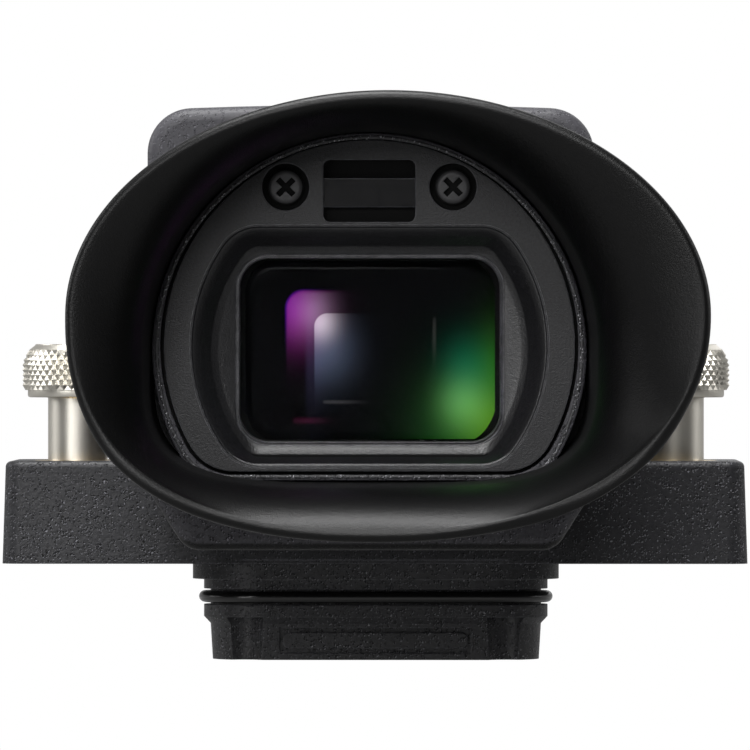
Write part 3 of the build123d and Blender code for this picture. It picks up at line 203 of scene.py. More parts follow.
class Effect(Enum):
    """Surface effects that several materials share as node groups."""

    CAST = "cast_grain"
    FINE = "fine_grain"
    # Edges lightened as a painted highlight, broken up like wear.
    WEAR_AND_PAINTED_HIGHLIGHT = "edge_wear_and_painted_highlight"
    DRIFT = "tone_drift"
    LATHE = "lathe_marks"


@dataclass(frozen=True)
class EffectSpec:
    """The sockets of an effect's group and what fills it."""

    inputs: tuple[tuple[str, float], ...]
    outputs: tuple[str, ...]
    fill: Callable[[Graph, bpy.types.Node], tuple[bpy.types.NodeSocket, ...]]


GRAIN_WOBBLE = 0.0005
# Shift between each pit and the bright dot beside it, down and to the right: a painted highlight on the pit's rim,
# as if lit from the upper left.
PAINTED_HIGHLIGHT_SHIFT = (-0.00008, 0.0, 0.00008)


def cast_grain(graph: Graph, given: bpy.types.Node) -> tuple[bpy.types.NodeSocket, ...]:
    """Pebbled powder coat with clustered pits, each with painted shade in it and a painted highlight on its rim
    below and to the right, as if lit from the upper left.

    Args:
        graph: The group's graph.
        given: The group's input node.

    Returns:
        Height, the painted highlight specks, the pits that get painted shade and mottling from -1 to 1.
    """
    scale = given.outputs["Scale"]
    coarse = graph.noise(graph.math("MULTIPLY", scale, 0.6), 2.0, 0.6)
    cluster = graph.span(graph.noise(graph.math("MULTIPLY", scale, 0.12), 2.0), 0.36, 0.64, 0.35, 1.0)
    wobble = graph.add("ShaderNodeTexNoise", {"Vector": graph.place(), "Scale": graph.math("MULTIPLY", scale, 0.8)})
    shift = graph.vector("SUBTRACT", {0: wobble.outputs["Color"], 1: (0.5, 0.5, 0.5)})
    shift = graph.vector("SCALE", {0: shift, "Scale": GRAIN_WOBBLE})
    place = graph.vector("ADD", {0: graph.place(), 1: shift})
    marks = []
    for where in (place, graph.vector("ADD", {0: place, 1: PAINTED_HIGHLIGHT_SHIFT})):
        cell = graph.add("ShaderNodeTexVoronoi", {"Vector": where, "Scale": scale, "Randomness": 1.0})
        dot = graph.math("MULTIPLY", graph.span(cell.outputs["Distance"], 0.5, 0.3), cluster)
        chance = graph.add("ShaderNodeSeparateColor", {0: cell.outputs["Color"]}).outputs[0]
        marks.append(graph.math("MULTIPLY", dot, graph.span(chance, 0.5, 0.35)))
    pit_painted_shade, painted_rim_highlight = marks
    painted_highlight_speck = graph.math("MAXIMUM", graph.math("SUBTRACT", painted_rim_highlight, pit_painted_shade), 0.0)
    mottle = graph.span(coarse, 0.34, 0.66, -1.0, 1.0, "LINEAR")
    height = graph.math("ADD", graph.math("MULTIPLY", coarse, 0.25), graph.math("MULTIPLY", painted_highlight_speck, 0.5))
    height = graph.math("SUBTRACT", height, graph.math("MULTIPLY", pit_painted_shade, 0.7))
    return height, painted_highlight_speck, pit_painted_shade, mottle


def fine_grain(graph: Graph, given: bpy.types.Node) -> tuple[bpy.types.NodeSocket, ...]:
    """Small leather-like cells of a moulded face.

    Args:
        graph: The group's graph.
        given: The group's input node.

    Returns:
        Height and tone.
    """
    scale = given.outputs["Scale"]
    cell = graph.add("ShaderNodeTexVoronoi", {
        "Vector": graph.place(), "Scale": scale, "Smoothness": 0.6, "Randomness": 0.9},
        feature="SMOOTH_F1").outputs["Distance"]
    blotch = graph.noise(graph.math("MULTIPLY", scale, 0.45), 3.0, 0.6)
    height = graph.math("ADD", graph.math("MULTIPLY", cell, -0.6), blotch)
    return height, graph.span(blotch, 0.35, 0.65)


def edge_wear_and_painted_highlight(graph: Graph, given: bpy.types.Node) -> tuple[bpy.types.NodeSocket, ...]:
    """A mask of the edges, broken up like wear, with which materials paint a highlight along edges, and the normal
    of slightly rounded edges.

    Args:
        graph: The group's graph.
        given: The group's input node.

    Returns:
        Mask and normal.
    """
    soft = graph.add("ShaderNodeBevel", {"Radius": given.outputs["Radius"]}, samples=6).outputs[0]
    facing = graph.add("ShaderNodeNewGeometry").outputs["Normal"]
    dot = graph.add("ShaderNodeVectorMath", {0: soft, 1: facing}, operation="DOT_PRODUCT").outputs["Value"]
    mask = graph.span(dot, 0.995, 0.8)
    broken = graph.span(graph.noise(given.outputs["Scale"], 3.0), 0.35, 0.6, 0.35, 1.0)
    return graph.math("MULTIPLY", mask, broken), soft


def tone_drift(graph: Graph, given: bpy.types.Node) -> tuple[bpy.types.NodeSocket, ...]:
    """Slow change of tone from handling and moulding.

    Args:
        graph: The group's graph.
        given: The group's input node.

    Returns:
        A factor round 1.
    """
    slow = graph.noise(given.outputs["Scale"], 3.0, 0.55)
    swing = graph.math("MULTIPLY", graph.math("SUBTRACT", slow, 0.5), given.outputs["Amount"])
    return (graph.math("ADD", swing, 1.0),)


def lathe_marks(graph: Graph, given: bpy.types.Node) -> tuple[bpy.types.NodeSocket, ...]:
    """Fine turning lines round an upright axis.

    Args:
        graph: The group's graph.
        given: The group's input node.

    Returns:
        Height of the lines.
    """
    stretch = graph.vector("MULTIPLY", {0: graph.place(), 1: (0.06, 0.06, 1.0)})
    return (graph.noise(given.outputs["Scale"], 4.0, 0.7, stretch),)


EFFECTS: dict[Effect, EffectSpec] = {
    Effect.CAST: EffectSpec((("Scale", 3000.0),), ("Height", "PaintedHighlightSpeck", "PitPaintedShade", "Mottle"), cast_grain),
    Effect.FINE: EffectSpec((("Scale", 2500.0),), ("Height", "Tone"), fine_grain),
    Effect.WEAR_AND_PAINTED_HIGHLIGHT: EffectSpec((("Radius", 0.0003), ("Scale", 900.0)), ("Mask", "Normal"), edge_wear_and_painted_highlight),
    Effect.DRIFT: EffectSpec((("Scale", 60.0), ("Amount", 0.3)), ("Factor",), tone_drift),
    Effect.LATHE: EffectSpec((("Scale", 9000.0),), ("Height",), lathe_marks),
}


def effect_group(effect: Effect) -> bpy.types.NodeTree:
    """Returns an effect's node group, built at its first use.

    Args:
        effect: Which effect.

    Returns:
        The node group.
    """
    tree = bpy.data.node_groups.get(effect.value)
    if tree:
        return tree
    tree = bpy.data.node_groups.new(effect.value, "ShaderNodeTree")
    spec = EFFECTS[effect]
    for name, value in spec.inputs:
        tree.interface.new_socket(name, in_out="INPUT", socket_type="NodeSocketFloat").default_value = value
    for name in spec.outputs:
        kind = "NodeSocketVector" if name == "Normal" else "NodeSocketFloat"
        tree.interface.new_socket(name, in_out="OUTPUT", socket_type=kind)
    graph = Graph(tree)
    given = graph.add("NodeGroupInput")
    made = graph.add("NodeGroupOutput")
    for index, socket in enumerate(spec.fill(graph, given)):
        tree.links.new(socket, made.inputs[index])
    return tree


def use_effect(graph: Graph, effect: Effect, **inputs: float) -> bpy.types.Node:
    """Places an effect's group in a material.

    Args:
        graph: The material's graph.
        effect: Which effect.
        **inputs: Values of the group's inputs, by name.

    Returns:
        The group node.
    """
    node = graph.add("ShaderNodeGroup", node_tree=effect_group(effect))
    for name, value in inputs.items():
        node.inputs[name.capitalize()].default_value = value
    return node


def new_material(name: str) -> tuple[bpy.types.Material, Graph, bpy.types.Node]:
    """Makes a node material with a bare Principled BSDF.

    Args:
        name: The material's name.

    Returns:
        The material, its graph and its shader node.
    """
    material = bpy.data.materials.new(name)
    material.use_nodes = True
    material.node_tree.nodes.clear()
    graph = Graph(material.node_tree)
    shader = graph.add("ShaderNodeBsdfPrincipled")
    graph.add("ShaderNodeOutputMaterial", {0: shader.outputs[0]})
    return material, graph, shader


@dataclass(frozen=True)
class Finish:
    """A grained, coated or moulded surface with soft edges."""

    name: str
    slot: str
    colour: Colour
    roughness: float = 0.55
    specular: float = 0.3
    metallic: float = 0.0
    rough_swing: float = 0.05
    grain: Effect = Effect.FINE
    grain_scale: float = 3000.0
    grain_depth: float = 0.02
    # Share of painted highlight on the specks beside the pits, and of painted shade in the pits.
    painted_highlight_speck: float = 0.0
    pit_painted_shade: float = 0.0
    mottle: float = 0.0
    tone: float = 0.15
    edge_radius: float = 0.25
    # How much the edges are lightened: a painted highlight along edges, broken up like wear.
    edge_painted_highlight: float = 0.3
    edge_scale: float = 900.0
    calm_above: float = 0.0
    calm: float = 0.35
    calm_fade: float = 9.0
    # Painted shade: share by which surfaces facing down are darkened.
    under: float = 0.0
    # Painted shade: parts behind this reach, in millimetres, are darkened and made rough, as shade in the recess.
    painted_shade_from: float = 0.0
    painted_shade_fade: float = 0.2
    painted_shade_share: float = 0.95
    drift: float = 0.25
    coat: float = 0.0

    def material(self) -> bpy.types.Material:
        """Returns the finish's material, built at its first use."""
        found = bpy.data.materials.get(self.name)
        if found:
            return found
        material, graph, shader = new_material(self.name)
        link = graph.tree.links.new
        grain = use_effect(graph, self.grain, scale=self.grain_scale)
        wear_and_painted_highlight = use_effect(graph, Effect.WEAR_AND_PAINTED_HIGHLIGHT, radius=self.edge_radius * MM, scale=self.edge_scale)
        drift = use_effect(graph, Effect.DRIFT, amount=self.drift)
        factor = drift.outputs["Factor"]
        height = grain.outputs["Height"]
        strength: object = 1.0
        if self.calm_above:
            low, high = (self.calm_above - self.calm_fade) * MM, (self.calm_above + self.calm_fade) * MM
            strength = graph.span(graph.axes()[2], low, high, 1.0, self.calm)
            height = graph.math("MULTIPLY", height, strength)
        if self.grain is Effect.CAST:
            # Painted highlight on the specks and painted shade in the pits; the mottling is tone.
            light = graph.math("MULTIPLY", grain.outputs["PaintedHighlightSpeck"], self.painted_highlight_speck)
            dark = graph.math("MULTIPLY", grain.outputs["PitPaintedShade"], self.pit_painted_shade)
            cloud = graph.math("MULTIPLY", grain.outputs["Mottle"], self.mottle)
            relief = graph.math("SUBTRACT", graph.math("ADD", light, cloud), dark)
            factor = graph.math("ADD", factor, graph.math("MULTIPLY", relief, strength))
        elif self.grain is Effect.FINE:
            swing = graph.math("MULTIPLY", graph.math("SUBTRACT", grain.outputs["Tone"], 0.5), self.tone)
            factor = graph.math("ADD", factor, swing)
        # Painted highlight: edges are lightened by the edge mask.
        edge = graph.math("MULTIPLY", wear_and_painted_highlight.outputs["Mask"], self.edge_painted_highlight)
        factor = graph.math("MAXIMUM", graph.math("ADD", factor, edge), 0.0)
        # Painted shade under the part: surfaces facing down are darkened.
        if self.under:
            facing = graph.add("ShaderNodeTexCoord").outputs["Normal"]
            upward = graph.add("ShaderNodeSeparateXYZ", {0: facing}).outputs[2]
            factor = graph.math("MULTIPLY", factor, graph.span(upward, -0.35, -0.6, 1.0, 1.0 - self.under))
        rough = graph.span(grain.outputs["Height"], 0.2, 0.9, self.roughness + self.rough_swing,
                           self.roughness - self.rough_swing, "LINEAR")
        # Painted shade in the recess: surfaces behind the given reach are darkened and their gloss dulled.
        if self.painted_shade_from:
            painted_recess_shade = graph.span(graph.axes()[1], -self.painted_shade_from * MM, (self.painted_shade_fade - self.painted_shade_from) * MM)
            painted_recess_shade = graph.math("MULTIPLY", painted_recess_shade, self.painted_shade_share)
            factor = graph.math("MULTIPLY", factor, graph.math("SUBTRACT", 1.0, painted_recess_shade))
            rough = graph.math("MAXIMUM", rough, painted_recess_shade)
        link(graph.blend(1.0, self.colour, graph.grey(factor), "MULTIPLY"), shader.inputs["Base Color"])
        link(rough, shader.inputs["Roughness"])
        bump = graph.add("ShaderNodeBump", {
            "Strength": 1.0, "Distance": self.grain_depth * MM,
            "Height": height, "Normal": wear_and_painted_highlight.outputs["Normal"]})
        link(bump.outputs[0], shader.inputs["Normal"])
        shader.inputs["Metallic"].default_value = self.metallic
        shader.inputs["Specular IOR Level"].default_value = self.specular
        if self.coat:
            shader.inputs["Coat Weight"].default_value = self.coat
            shader.inputs["Coat Roughness"].default_value = 0.15
        return material


@dataclass(frozen=True)
class ClearGlass:
    """Coated optical glass."""

    name: str
    slot: str
    colour: Colour = (0.95, 0.97, 0.98)
    specular: float = 0.06

    def material(self) -> bpy.types.Material:
        """Returns the glass material, built at its first use."""
        found = bpy.data.materials.get(self.name)
        if found:
            return found
        material, graph, shader = new_material(self.name)
        smear = graph.span(graph.noise(90.0, 4.0, 0.6), 0.4, 0.7, 0.02, 0.06)
        graph.tree.links.new(smear, shader.inputs["Roughness"])
        shader.inputs["Base Color"].default_value = (*self.colour, 1.0)
        shader.inputs["Transmission Weight"].default_value = 1.0
        shader.inputs["Specular IOR Level"].default_value = self.specular
        shader.inputs["IOR"].default_value = 1.02
        return material


@dataclass(frozen=True)
class PaintedReflection:
    """One soft coloured reflection painted on the eye lens as glow, placed on X and Z in millimetres."""

    colour: Colour
    left: float
    top: float
    right: float
    bottom: float
    corner: float
    edge: float
    fade_from: tuple[float, float]
    reach: tuple[float, float]


@dataclass(frozen=True)
class LensWithPaintedReflections:
    """The dark eye lens with coloured reflections painted on it as glow."""

    name: str
    slot: str
    painted_reflections: tuple[PaintedReflection, ...]
    base: Colour = (0.002, 0.002, 0.0025)

    def mask(self, graph: Graph, painted_reflection: PaintedReflection) -> bpy.types.NodeSocket:
        """Builds the mask of one painted reflection.

        Args:
            graph: The material's graph.
            painted_reflection: Which painted reflection.

        Returns:
            The mask socket.
        """
        x, _, z = graph.axes()
        x = graph.math("MULTIPLY", x, 1000.0)
        z = graph.math("MULTIPLY", z, 1000.0)
        middle_x = (painted_reflection.left + painted_reflection.right) / 2
        middle_z = (painted_reflection.top + painted_reflection.bottom) / 2
        half_x = (painted_reflection.right - painted_reflection.left) / 2 - painted_reflection.corner
        half_z = (painted_reflection.top - painted_reflection.bottom) / 2 - painted_reflection.corner
        over_x = graph.math("SUBTRACT", graph.math("ABSOLUTE", graph.math("SUBTRACT", x, middle_x)), half_x)
        over_z = graph.math("SUBTRACT", graph.math("ABSOLUTE", graph.math("SUBTRACT", z, middle_z)), half_z)
        out_x = graph.math("MAXIMUM", over_x, 0.0)
        out_z = graph.math("MAXIMUM", over_z, 0.0)
        square = graph.math("ADD", graph.math("MULTIPLY", out_x, out_x), graph.math("MULTIPLY", out_z, out_z))
        inside = graph.math("MINIMUM", graph.math("MAXIMUM", over_x, over_z), 0.0)
        distance = graph.math("ADD", graph.math("SQRT", square), inside)
        shape = graph.span(distance, painted_reflection.corner, painted_reflection.corner - painted_reflection.edge)
        away_x = graph.math("DIVIDE", graph.math("SUBTRACT", x, painted_reflection.fade_from[0]), painted_reflection.reach[0])
        away_z = graph.math("DIVIDE", graph.math("SUBTRACT", z, painted_reflection.fade_from[1]), painted_reflection.reach[1])
        away = graph.math("ADD", graph.math("MULTIPLY", away_x, away_x), graph.math("MULTIPLY", away_z, away_z))
        glow = graph.math("EXPONENT", graph.math("MULTIPLY", away, -1.0))
        return graph.math("MULTIPLY", glow, shape)

    def material(self) -> bpy.types.Material:
        """Returns the lens material, with its reflections painted on as glow, built at its first use."""
        found = bpy.data.materials.get(self.name)
        if found:
            return found
        material, graph, shader = new_material(self.name)
        glow = None
        for painted_reflection in self.painted_reflections:
            mask = self.mask(graph, painted_reflection)
            colour = graph.blend(mask, (0, 0, 0), painted_reflection.colour)
            glow = colour if glow is None else graph.blend(1.0, glow, colour, "ADD")
        # Painted reflections: the masks glow by themselves as the lens's coloured reflections.
        graph.tree.links.new(glow, shader.inputs["Emission Color"])
        shader.inputs["Emission Strength"].default_value = 1.0
        shader.inputs["Base Color"].default_value = (*self.base, 1.0)
        shader.inputs["Roughness"].default_value = 0.05
        shader.inputs["Specular IOR Level"].default_value = 0.02
        return material


AnyFinish = Finish | ClearGlass | LensWithPaintedReflections

BAR_COAT = Finish("bar_coat", "bar_metal", (0.017, 0.017, 0.019), 0.38, 0.28, grain=Effect.CAST,
                  grain_scale=3300.0, grain_depth=0.26, painted_highlight_speck=9.0, pit_painted_shade=0.98, mottle=0.2, edge_radius=0.35,
                  edge_painted_highlight=5.0, edge_scale=2600.0)
PLUG_COAT = Finish("plug_coat", "bar_metal", (0.025, 0.025, 0.0268), 0.36, 0.3, grain=Effect.CAST,
                   grain_scale=3400.0, grain_depth=0.24, painted_highlight_speck=9.0, pit_painted_shade=0.98, mottle=0.3, edge_radius=0.25,
                   edge_painted_highlight=2.5, edge_scale=2600.0)
# The head's coat is darkened on its undersides as painted shade.
HEAD_COAT = Finish("head_coat", "head_metal", (0.046, 0.045, 0.051), 0.42, 0.28, grain=Effect.CAST,
                   grain_scale=3300.0, grain_depth=0.22, painted_highlight_speck=4.0, pit_painted_shade=0.97, mottle=0.25, edge_radius=0.3,
                   edge_painted_highlight=0.5, edge_scale=2600.0, calm_above=20.0, under=0.97)
BEAD_COAT = Finish("bead_coat", "head_metal", (0.045, 0.045, 0.048), 0.35, 0.35, grain=Effect.CAST,
                   grain_scale=3600.0, grain_depth=0.15, painted_highlight_speck=14.0, pit_painted_shade=0.9, mottle=0.4, edge_radius=0.05,
                   edge_painted_highlight=0.0)
# The face gets painted shade behind its front and a painted highlight on its edges.
FACE_GRAIN = Finish("face_grain", "face_plastic", (0.0145, 0.0145, 0.016), 0.4, 0.35, grain_scale=7000.0,
                    grain_depth=0.035, tone=0.5, edge_radius=0.24, edge_painted_highlight=8.0, painted_shade_from=59.85)
# The surround's edges get a strong painted highlight.
SURROUND_GRAIN = Finish("surround_grain", "face_plastic", (0.0125, 0.0125, 0.0137), 0.27, 0.5, grain_scale=6500.0,
                        grain_depth=0.03, tone=0.5, edge_radius=0.2, edge_painted_highlight=16.0)
CUP_RUBBER = Finish("cup_rubber_matte", "cup_rubber", (0.002, 0.002, 0.0021), 0.34, 0.24,
                    grain_scale=6500.0, grain_depth=0.03, tone=0.4, edge_radius=0.1, edge_painted_highlight=0.0)
SEAL_RUBBER = Finish("seal_rubber_gloss", "seal_rubber", (0.003, 0.003, 0.003), 0.16, 0.6,
                     grain_scale=3000.0, grain_depth=0.002, edge_painted_highlight=0.0)
SCREW_NICKEL = Finish("screw_nickel_satin", "screw_nickel", (0.64, 0.613, 0.55), 0.35, 0.5, 1.0, grain=Effect.LATHE,
                      grain_scale=9000.0, grain_depth=0.003, edge_radius=0.05, edge_painted_highlight=0.1, drift=0.08)
BLACK_SCREW = Finish("black_screw_zinc", "black_screw", (0.05, 0.0495, 0.053), 0.4, 0.4,
                     grain_scale=5000.0, grain_depth=0.012, edge_radius=0.1, edge_painted_highlight=0.8)
# The screw heads get painted shade where they sit behind the face.
EYE_SCREW = Finish("eye_screw_zinc", "black_screw", (0.04, 0.0395, 0.042), 0.36, 0.4, grain_scale=6000.0,
                   grain_depth=0.01, edge_radius=0.12, edge_painted_highlight=1.5, painted_shade_from=59.8)
HINGE_STEEL = Finish("hinge_steel_ground", "hinge_steel", (0.42, 0.42, 0.41), 0.32, 0.5, 1.0, grain=Effect.LATHE,
                     grain_scale=7000.0, grain_depth=0.004, edge_radius=0.1, edge_painted_highlight=0.2)
SPRING_STEEL = Finish("spring_steel_drawn", "spring_steel", (0.5, 0.5, 0.49), 0.3, 0.5, 1.0, grain=Effect.LATHE,
                      grain_scale=9000.0, grain_depth=0.003)
BUSH_BRASS = Finish("bush_brass_turned", "bush_brass", (0.68, 0.5, 0.24), 0.3, 0.5, 1.0, grain=Effect.LATHE,
                    grain_scale=8000.0, grain_depth=0.004, edge_radius=0.1, edge_painted_highlight=0.2)
DARK_PLASTIC = Finish("dark_plastic_moulded", "dark_plastic", (0.02, 0.02, 0.022), 0.55, 0.35,
                      grain_scale=3800.0, grain_depth=0.015)
PINION_PLASTIC = Finish("pinion_plastic_natural", "pinion_plastic", (0.6, 0.58, 0.5), 0.45, 0.4,
                        grain_scale=3000.0, grain_depth=0.006)
# The sensor window's edges get a strong painted highlight.
SENSOR_GLOSS = Finish("sensor_gloss", "sensor_plastic", (0.004, 0.004, 0.005), 0.15, 0.35,
                      grain_scale=2500.0, grain_depth=0.001, tone=0.05, edge_radius=0.14, edge_painted_highlight=30.0)
BOARD_MASK = Finish("board_solder_mask", "board_green", (0.02, 0.11, 0.045), 0.35, 0.4,
                    grain_scale=1400.0, grain_depth=0.01, tone=0.5, coat=0.3)
CHIP_BLACK = Finish("chip_moulding", "chip_black", (0.02, 0.02, 0.021), 0.5, 0.35,
                    grain_scale=5200.0, grain_depth=0.008)
CABLE_JACKET = Finish("cable_jacket_soft", "cable_jacket", (0.025, 0.025, 0.027), 0.5, 0.35,
                      grain_scale=2600.0, grain_depth=0.01)
WINDOW_GLASS = ClearGlass("window_glass_coated", "window_glass")
INNER_GLASS = ClearGlass("lens_glass_clear", "lens_glass")
DISPLAY_GLASS = Finish("display_glass_dark", "display_glass", (0.01, 0.011, 0.014), 0.08, 0.5,
                       grain_scale=1000.0, grain_depth=0.0005, tone=0.05, edge_painted_highlight=0.0)


def ring_mesh(name: str, rings: Sequence[Sequence[Vector]], closed: bool = False) -> bpy.types.Mesh:
    """Makes a closed mesh through rings of points of equal count.

    Args:
        name: The mesh's name.
        rings: Rings of points in metres, in order.
        closed: Whether the last ring joins the first, or else both end rings are filled.

    Returns:
        The mesh.
    """
    count = len(rings[0])
    points = [tuple(point) for ring in rings for point in ring]
    faces = []
    last = len(rings) if closed else len(rings) - 1
    for i in range(last):
        low, high = i * count, ((i + 1) % len(rings)) * count
        for j in range(count):
            k = (j + 1) % count
            faces.append((low + j, low + k, high + k, high + j))
    if not closed:
        faces.append(tuple(reversed(range(count))))
        faces.append(tuple(range((len(rings) - 1) * count, len(rings) * count)))
    mesh = bpy.data.meshes.new(name)
    mesh.from_pydata(points, [], faces)
    mesh.validate()
    fix_normals(mesh)
    return mesh


def fix_normals(mesh: bpy.types.Mesh) -> None:
    """Turns every face of a closed mesh outwards."""
    shell = bmesh.new()
    shell.from_mesh(mesh)
    bmesh.ops.recalc_face_normals(shell, faces=shell.faces)
    shell.to_mesh(mesh)
    shell.free()


def smooth(mesh: bpy.types.Mesh, angle: float = 35.0) -> None:
    """Shades a mesh smooth, apart from edges sharper than an angle in degrees."""
    mesh.polygons.foreach_set("use_smooth", [True] * len(mesh.polygons))
    mesh.set_sharp_from_angle(angle=math.radians(angle))


def add_piece(name: str, mesh: bpy.types.Mesh, body: str, finish: AnyFinish, replaced: Sequence[str] = (),
              angle: float = 35.0) -> bpy.types.Object:
    """Puts a piece in the scene on its body.

    Args:
        name: The piece's name.
        mesh: Its mesh, in the row frame.
        body: The CAD body that it rides on.
        finish: Its finish.
        replaced: CAD nodes that it stands for.
        angle: Edges sharper than this stay sharp, in degrees.

    Returns:
        The new object.
    """
    smooth(mesh, angle)
    piece = bpy.data.objects.new(name, mesh)
    bpy.context.scene.collection.objects.link(piece)
    mesh.materials.append(finish.material())
    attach(piece, body)
    if replaced:
        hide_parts(*replaced)
    log.info("piece %s: %d faces on %s", name, len(mesh.polygons), body)
    return piece


class SubAssembly:
    """What every sub-assembly can do with its carried-over CAD nodes."""

    coats: dict[str, AnyFinish] = {}

    def dress(self) -> None:
        """Gives each carried-over CAD node its material."""
        for name, finish in self.coats.items():
            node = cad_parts[name]
            node.data.materials.clear()
            node.data.materials.append(finish.material())
            log.info("node %s: %s", name, finish.name)

    def build(self) -> None:
        """Builds the sub-assembly's own pieces, where it has any."""


@dataclass(frozen=True)
class Softbox:
    """One area lamp: its place and size in metres and its power in watts."""

    name: str
    place: tuple[float, float, float]
    size: tuple[float, float]
    power: float


@dataclass
class Studio:
    """Camera, lamps, world and floor."""

    camera_place: tuple[float, float, float] = (0.01319, -1.082, 0.02535)
    camera_target: tuple[float, float, float] = (0.00091, -0.082, 0.02275)
    lens: float = 430.0
    lamps: tuple[Softbox, ...] = (
        Softbox("top_softbox", (-0.12, -0.16, 0.75), (0.46, 0.38), 10.5),
        Softbox("front_softbox", (-0.18, -1.15, 0.42), (0.45, 0.45), 5.6),
        Softbox("high_softbox", (-0.08, -0.85, 0.72), (0.24, 0.24), 4.6),
        Softbox("low_fill", (-0.55, -1.0, 0.0), (0.4, 0.2), 1.3),
        Softbox("left_softbox", (-0.85, 0.06, 0.3), (0.45, 0.45), 2.6),
        Softbox("right_fill", (0.85, 0.06, 0.3), (0.45, 0.45), 1.6),
        Softbox("back_fill", (0.3, 0.8, 0.5), (0.7, 0.7), 1.5),
    )
    lamp_target: tuple[float, float, float] = (0.0, -0.04, 0.02)
    floor_drop: float = 60.0
    floor_half: float = 6.0
    floor_fade: tuple[float, float] = (0.12, 0.5)
    ambient: float = 0.09
    gloom: float = 0.03
    backdrop: float = 0.4
    floor_damping: float = 0.75

    def camera(self) -> None:
        """Makes the camera at the photograph's viewing angle."""
        data = bpy.data.cameras.new("camera")
        data.lens = self.lens
        data.sensor_width = 36.0
        data.clip_start = 0.01
        data.clip_end = 50.0
        camera = bpy.data.objects.new("camera", data)
        bpy.context.scene.collection.objects.link(camera)
        camera.location = self.camera_place
        way = Vector(self.camera_target) - Vector(self.camera_place)
        camera.rotation_euler = way.to_track_quat("-Z", "Y").to_euler()
        bpy.context.scene.camera = camera

    def lamp(self, box: Softbox) -> None:
        """Makes one softbox aimed at the object.

        Args:
            box: Which softbox.
        """
        data = bpy.data.lights.new(box.name, "AREA")
        data.shape = "RECTANGLE"
        data.size, data.size_y = box.size
        data.energy = box.power
        lamp = bpy.data.objects.new(box.name, data)
        bpy.context.scene.collection.objects.link(lamp)
        lamp.location = box.place
        way = Vector(self.lamp_target) - Vector(box.place)
        lamp.rotation_euler = way.to_track_quat("-Z", "Y").to_euler()

    def world(self) -> None:
        """Makes the world: white to the eye and behind the object, dim in front of it as in a studio."""
        world = bpy.data.worlds.new("studio_world")
        world.use_nodes = True
        world.node_tree.nodes.clear()
        graph = Graph(world.node_tree)
        path = graph.add("ShaderNodeLightPath").outputs
        way = graph.add("ShaderNodeSeparateXYZ", {0: graph.add("ShaderNodeTexCoord").outputs["Generated"]})
        behind = graph.span(way.outputs[1], 0.0, 0.4, self.gloom, self.backdrop)
        seen = graph.math("MAXIMUM", path["Is Camera Ray"], path["Is Transmission Ray"])
        seen = graph.math("MAXIMUM", seen, graph.math("MULTIPLY", path["Is Glossy Ray"], behind))
        level = graph.math("MULTIPLY", graph.math("SUBTRACT", 1.0, path["Is Glossy Ray"]), self.ambient)
        level = graph.math("MAXIMUM", level, seen)
        back = graph.add("ShaderNodeBackground", {0: graph.grey(level), 1: 1.0})
        graph.add("ShaderNodeOutputWorld", {0: back.outputs[0]})
        bpy.context.scene.world = world

    def floor(self) -> None:
        """Makes the pale floor, which fades into the white background far from the object."""
        height = CAD_BOX[0].z - self.floor_drop * MM
        half = self.floor_half
        mesh = bpy.data.meshes.new("floor")
        corners = [(-half, -half), (half, -half), (half, half), (-half, half)]
        mesh.from_pydata([(x, y, height) for x, y in corners], [], [(0, 1, 2, 3)])
        floor = bpy.data.objects.new("floor", mesh)
        bpy.context.scene.collection.objects.link(floor)
        material, graph, shader = new_material("floor_paper")
        grain = graph.noise(400.0, 3.0)
        path = graph.add("ShaderNodeLightPath").outputs
        indirect = graph.math("MAXIMUM", path["Is Diffuse Ray"], path["Is Glossy Ray"])
        bounced = graph.math("SUBTRACT", 1.0, graph.math("MULTIPLY", indirect, self.floor_damping))
        shade = graph.math("MULTIPLY", graph.span(grain, 0.3, 0.7, 0.79, 0.81), bounced)
        graph.tree.links.new(graph.grey(shade), shader.inputs["Base Color"])
        shader.inputs["Roughness"].default_value = 0.9
        shader.inputs["Specular IOR Level"].default_value = 0.1
        glow = graph.add("ShaderNodeEmission", {0: (1.0, 1.0, 1.0, 1.0), 1: 1.0})
        x, y, _ = graph.axes()
        radius = graph.math("SQRT", graph.math("ADD", graph.math("MULTIPLY", x, x), graph.math("MULTIPLY", y, y)))
        far = graph.span(radius, *self.floor_fade)
        mirrored = graph.math("MULTIPLY", path["Is Glossy Ray"], graph.span(y, 0.0, 0.4, 0.0, self.backdrop))
        seen = graph.math("MAXIMUM", path["Is Camera Ray"], mirrored)
        seen = graph.math("MAXIMUM", seen, path["Is Transmission Ray"])
        mixed = graph.add("ShaderNodeMixShader", {0: graph.math("MULTIPLY", far, seen), 1: shader.outputs[0],
                                                  2: glow.outputs[0]})
        output = next(n for n in material.node_tree.nodes if n.type == "OUTPUT_MATERIAL")
        graph.tree.links.new(mixed.outputs[0], output.inputs[0])
        mesh.materials.append(material)

    def build(self) -> None:
        """Builds the whole studio."""
        bpy.context.scene.view_settings.view_transform = "Standard"
        self.camera()
        for box in self.lamps:
            self.lamp(box)
        self.world()
        self.floor()


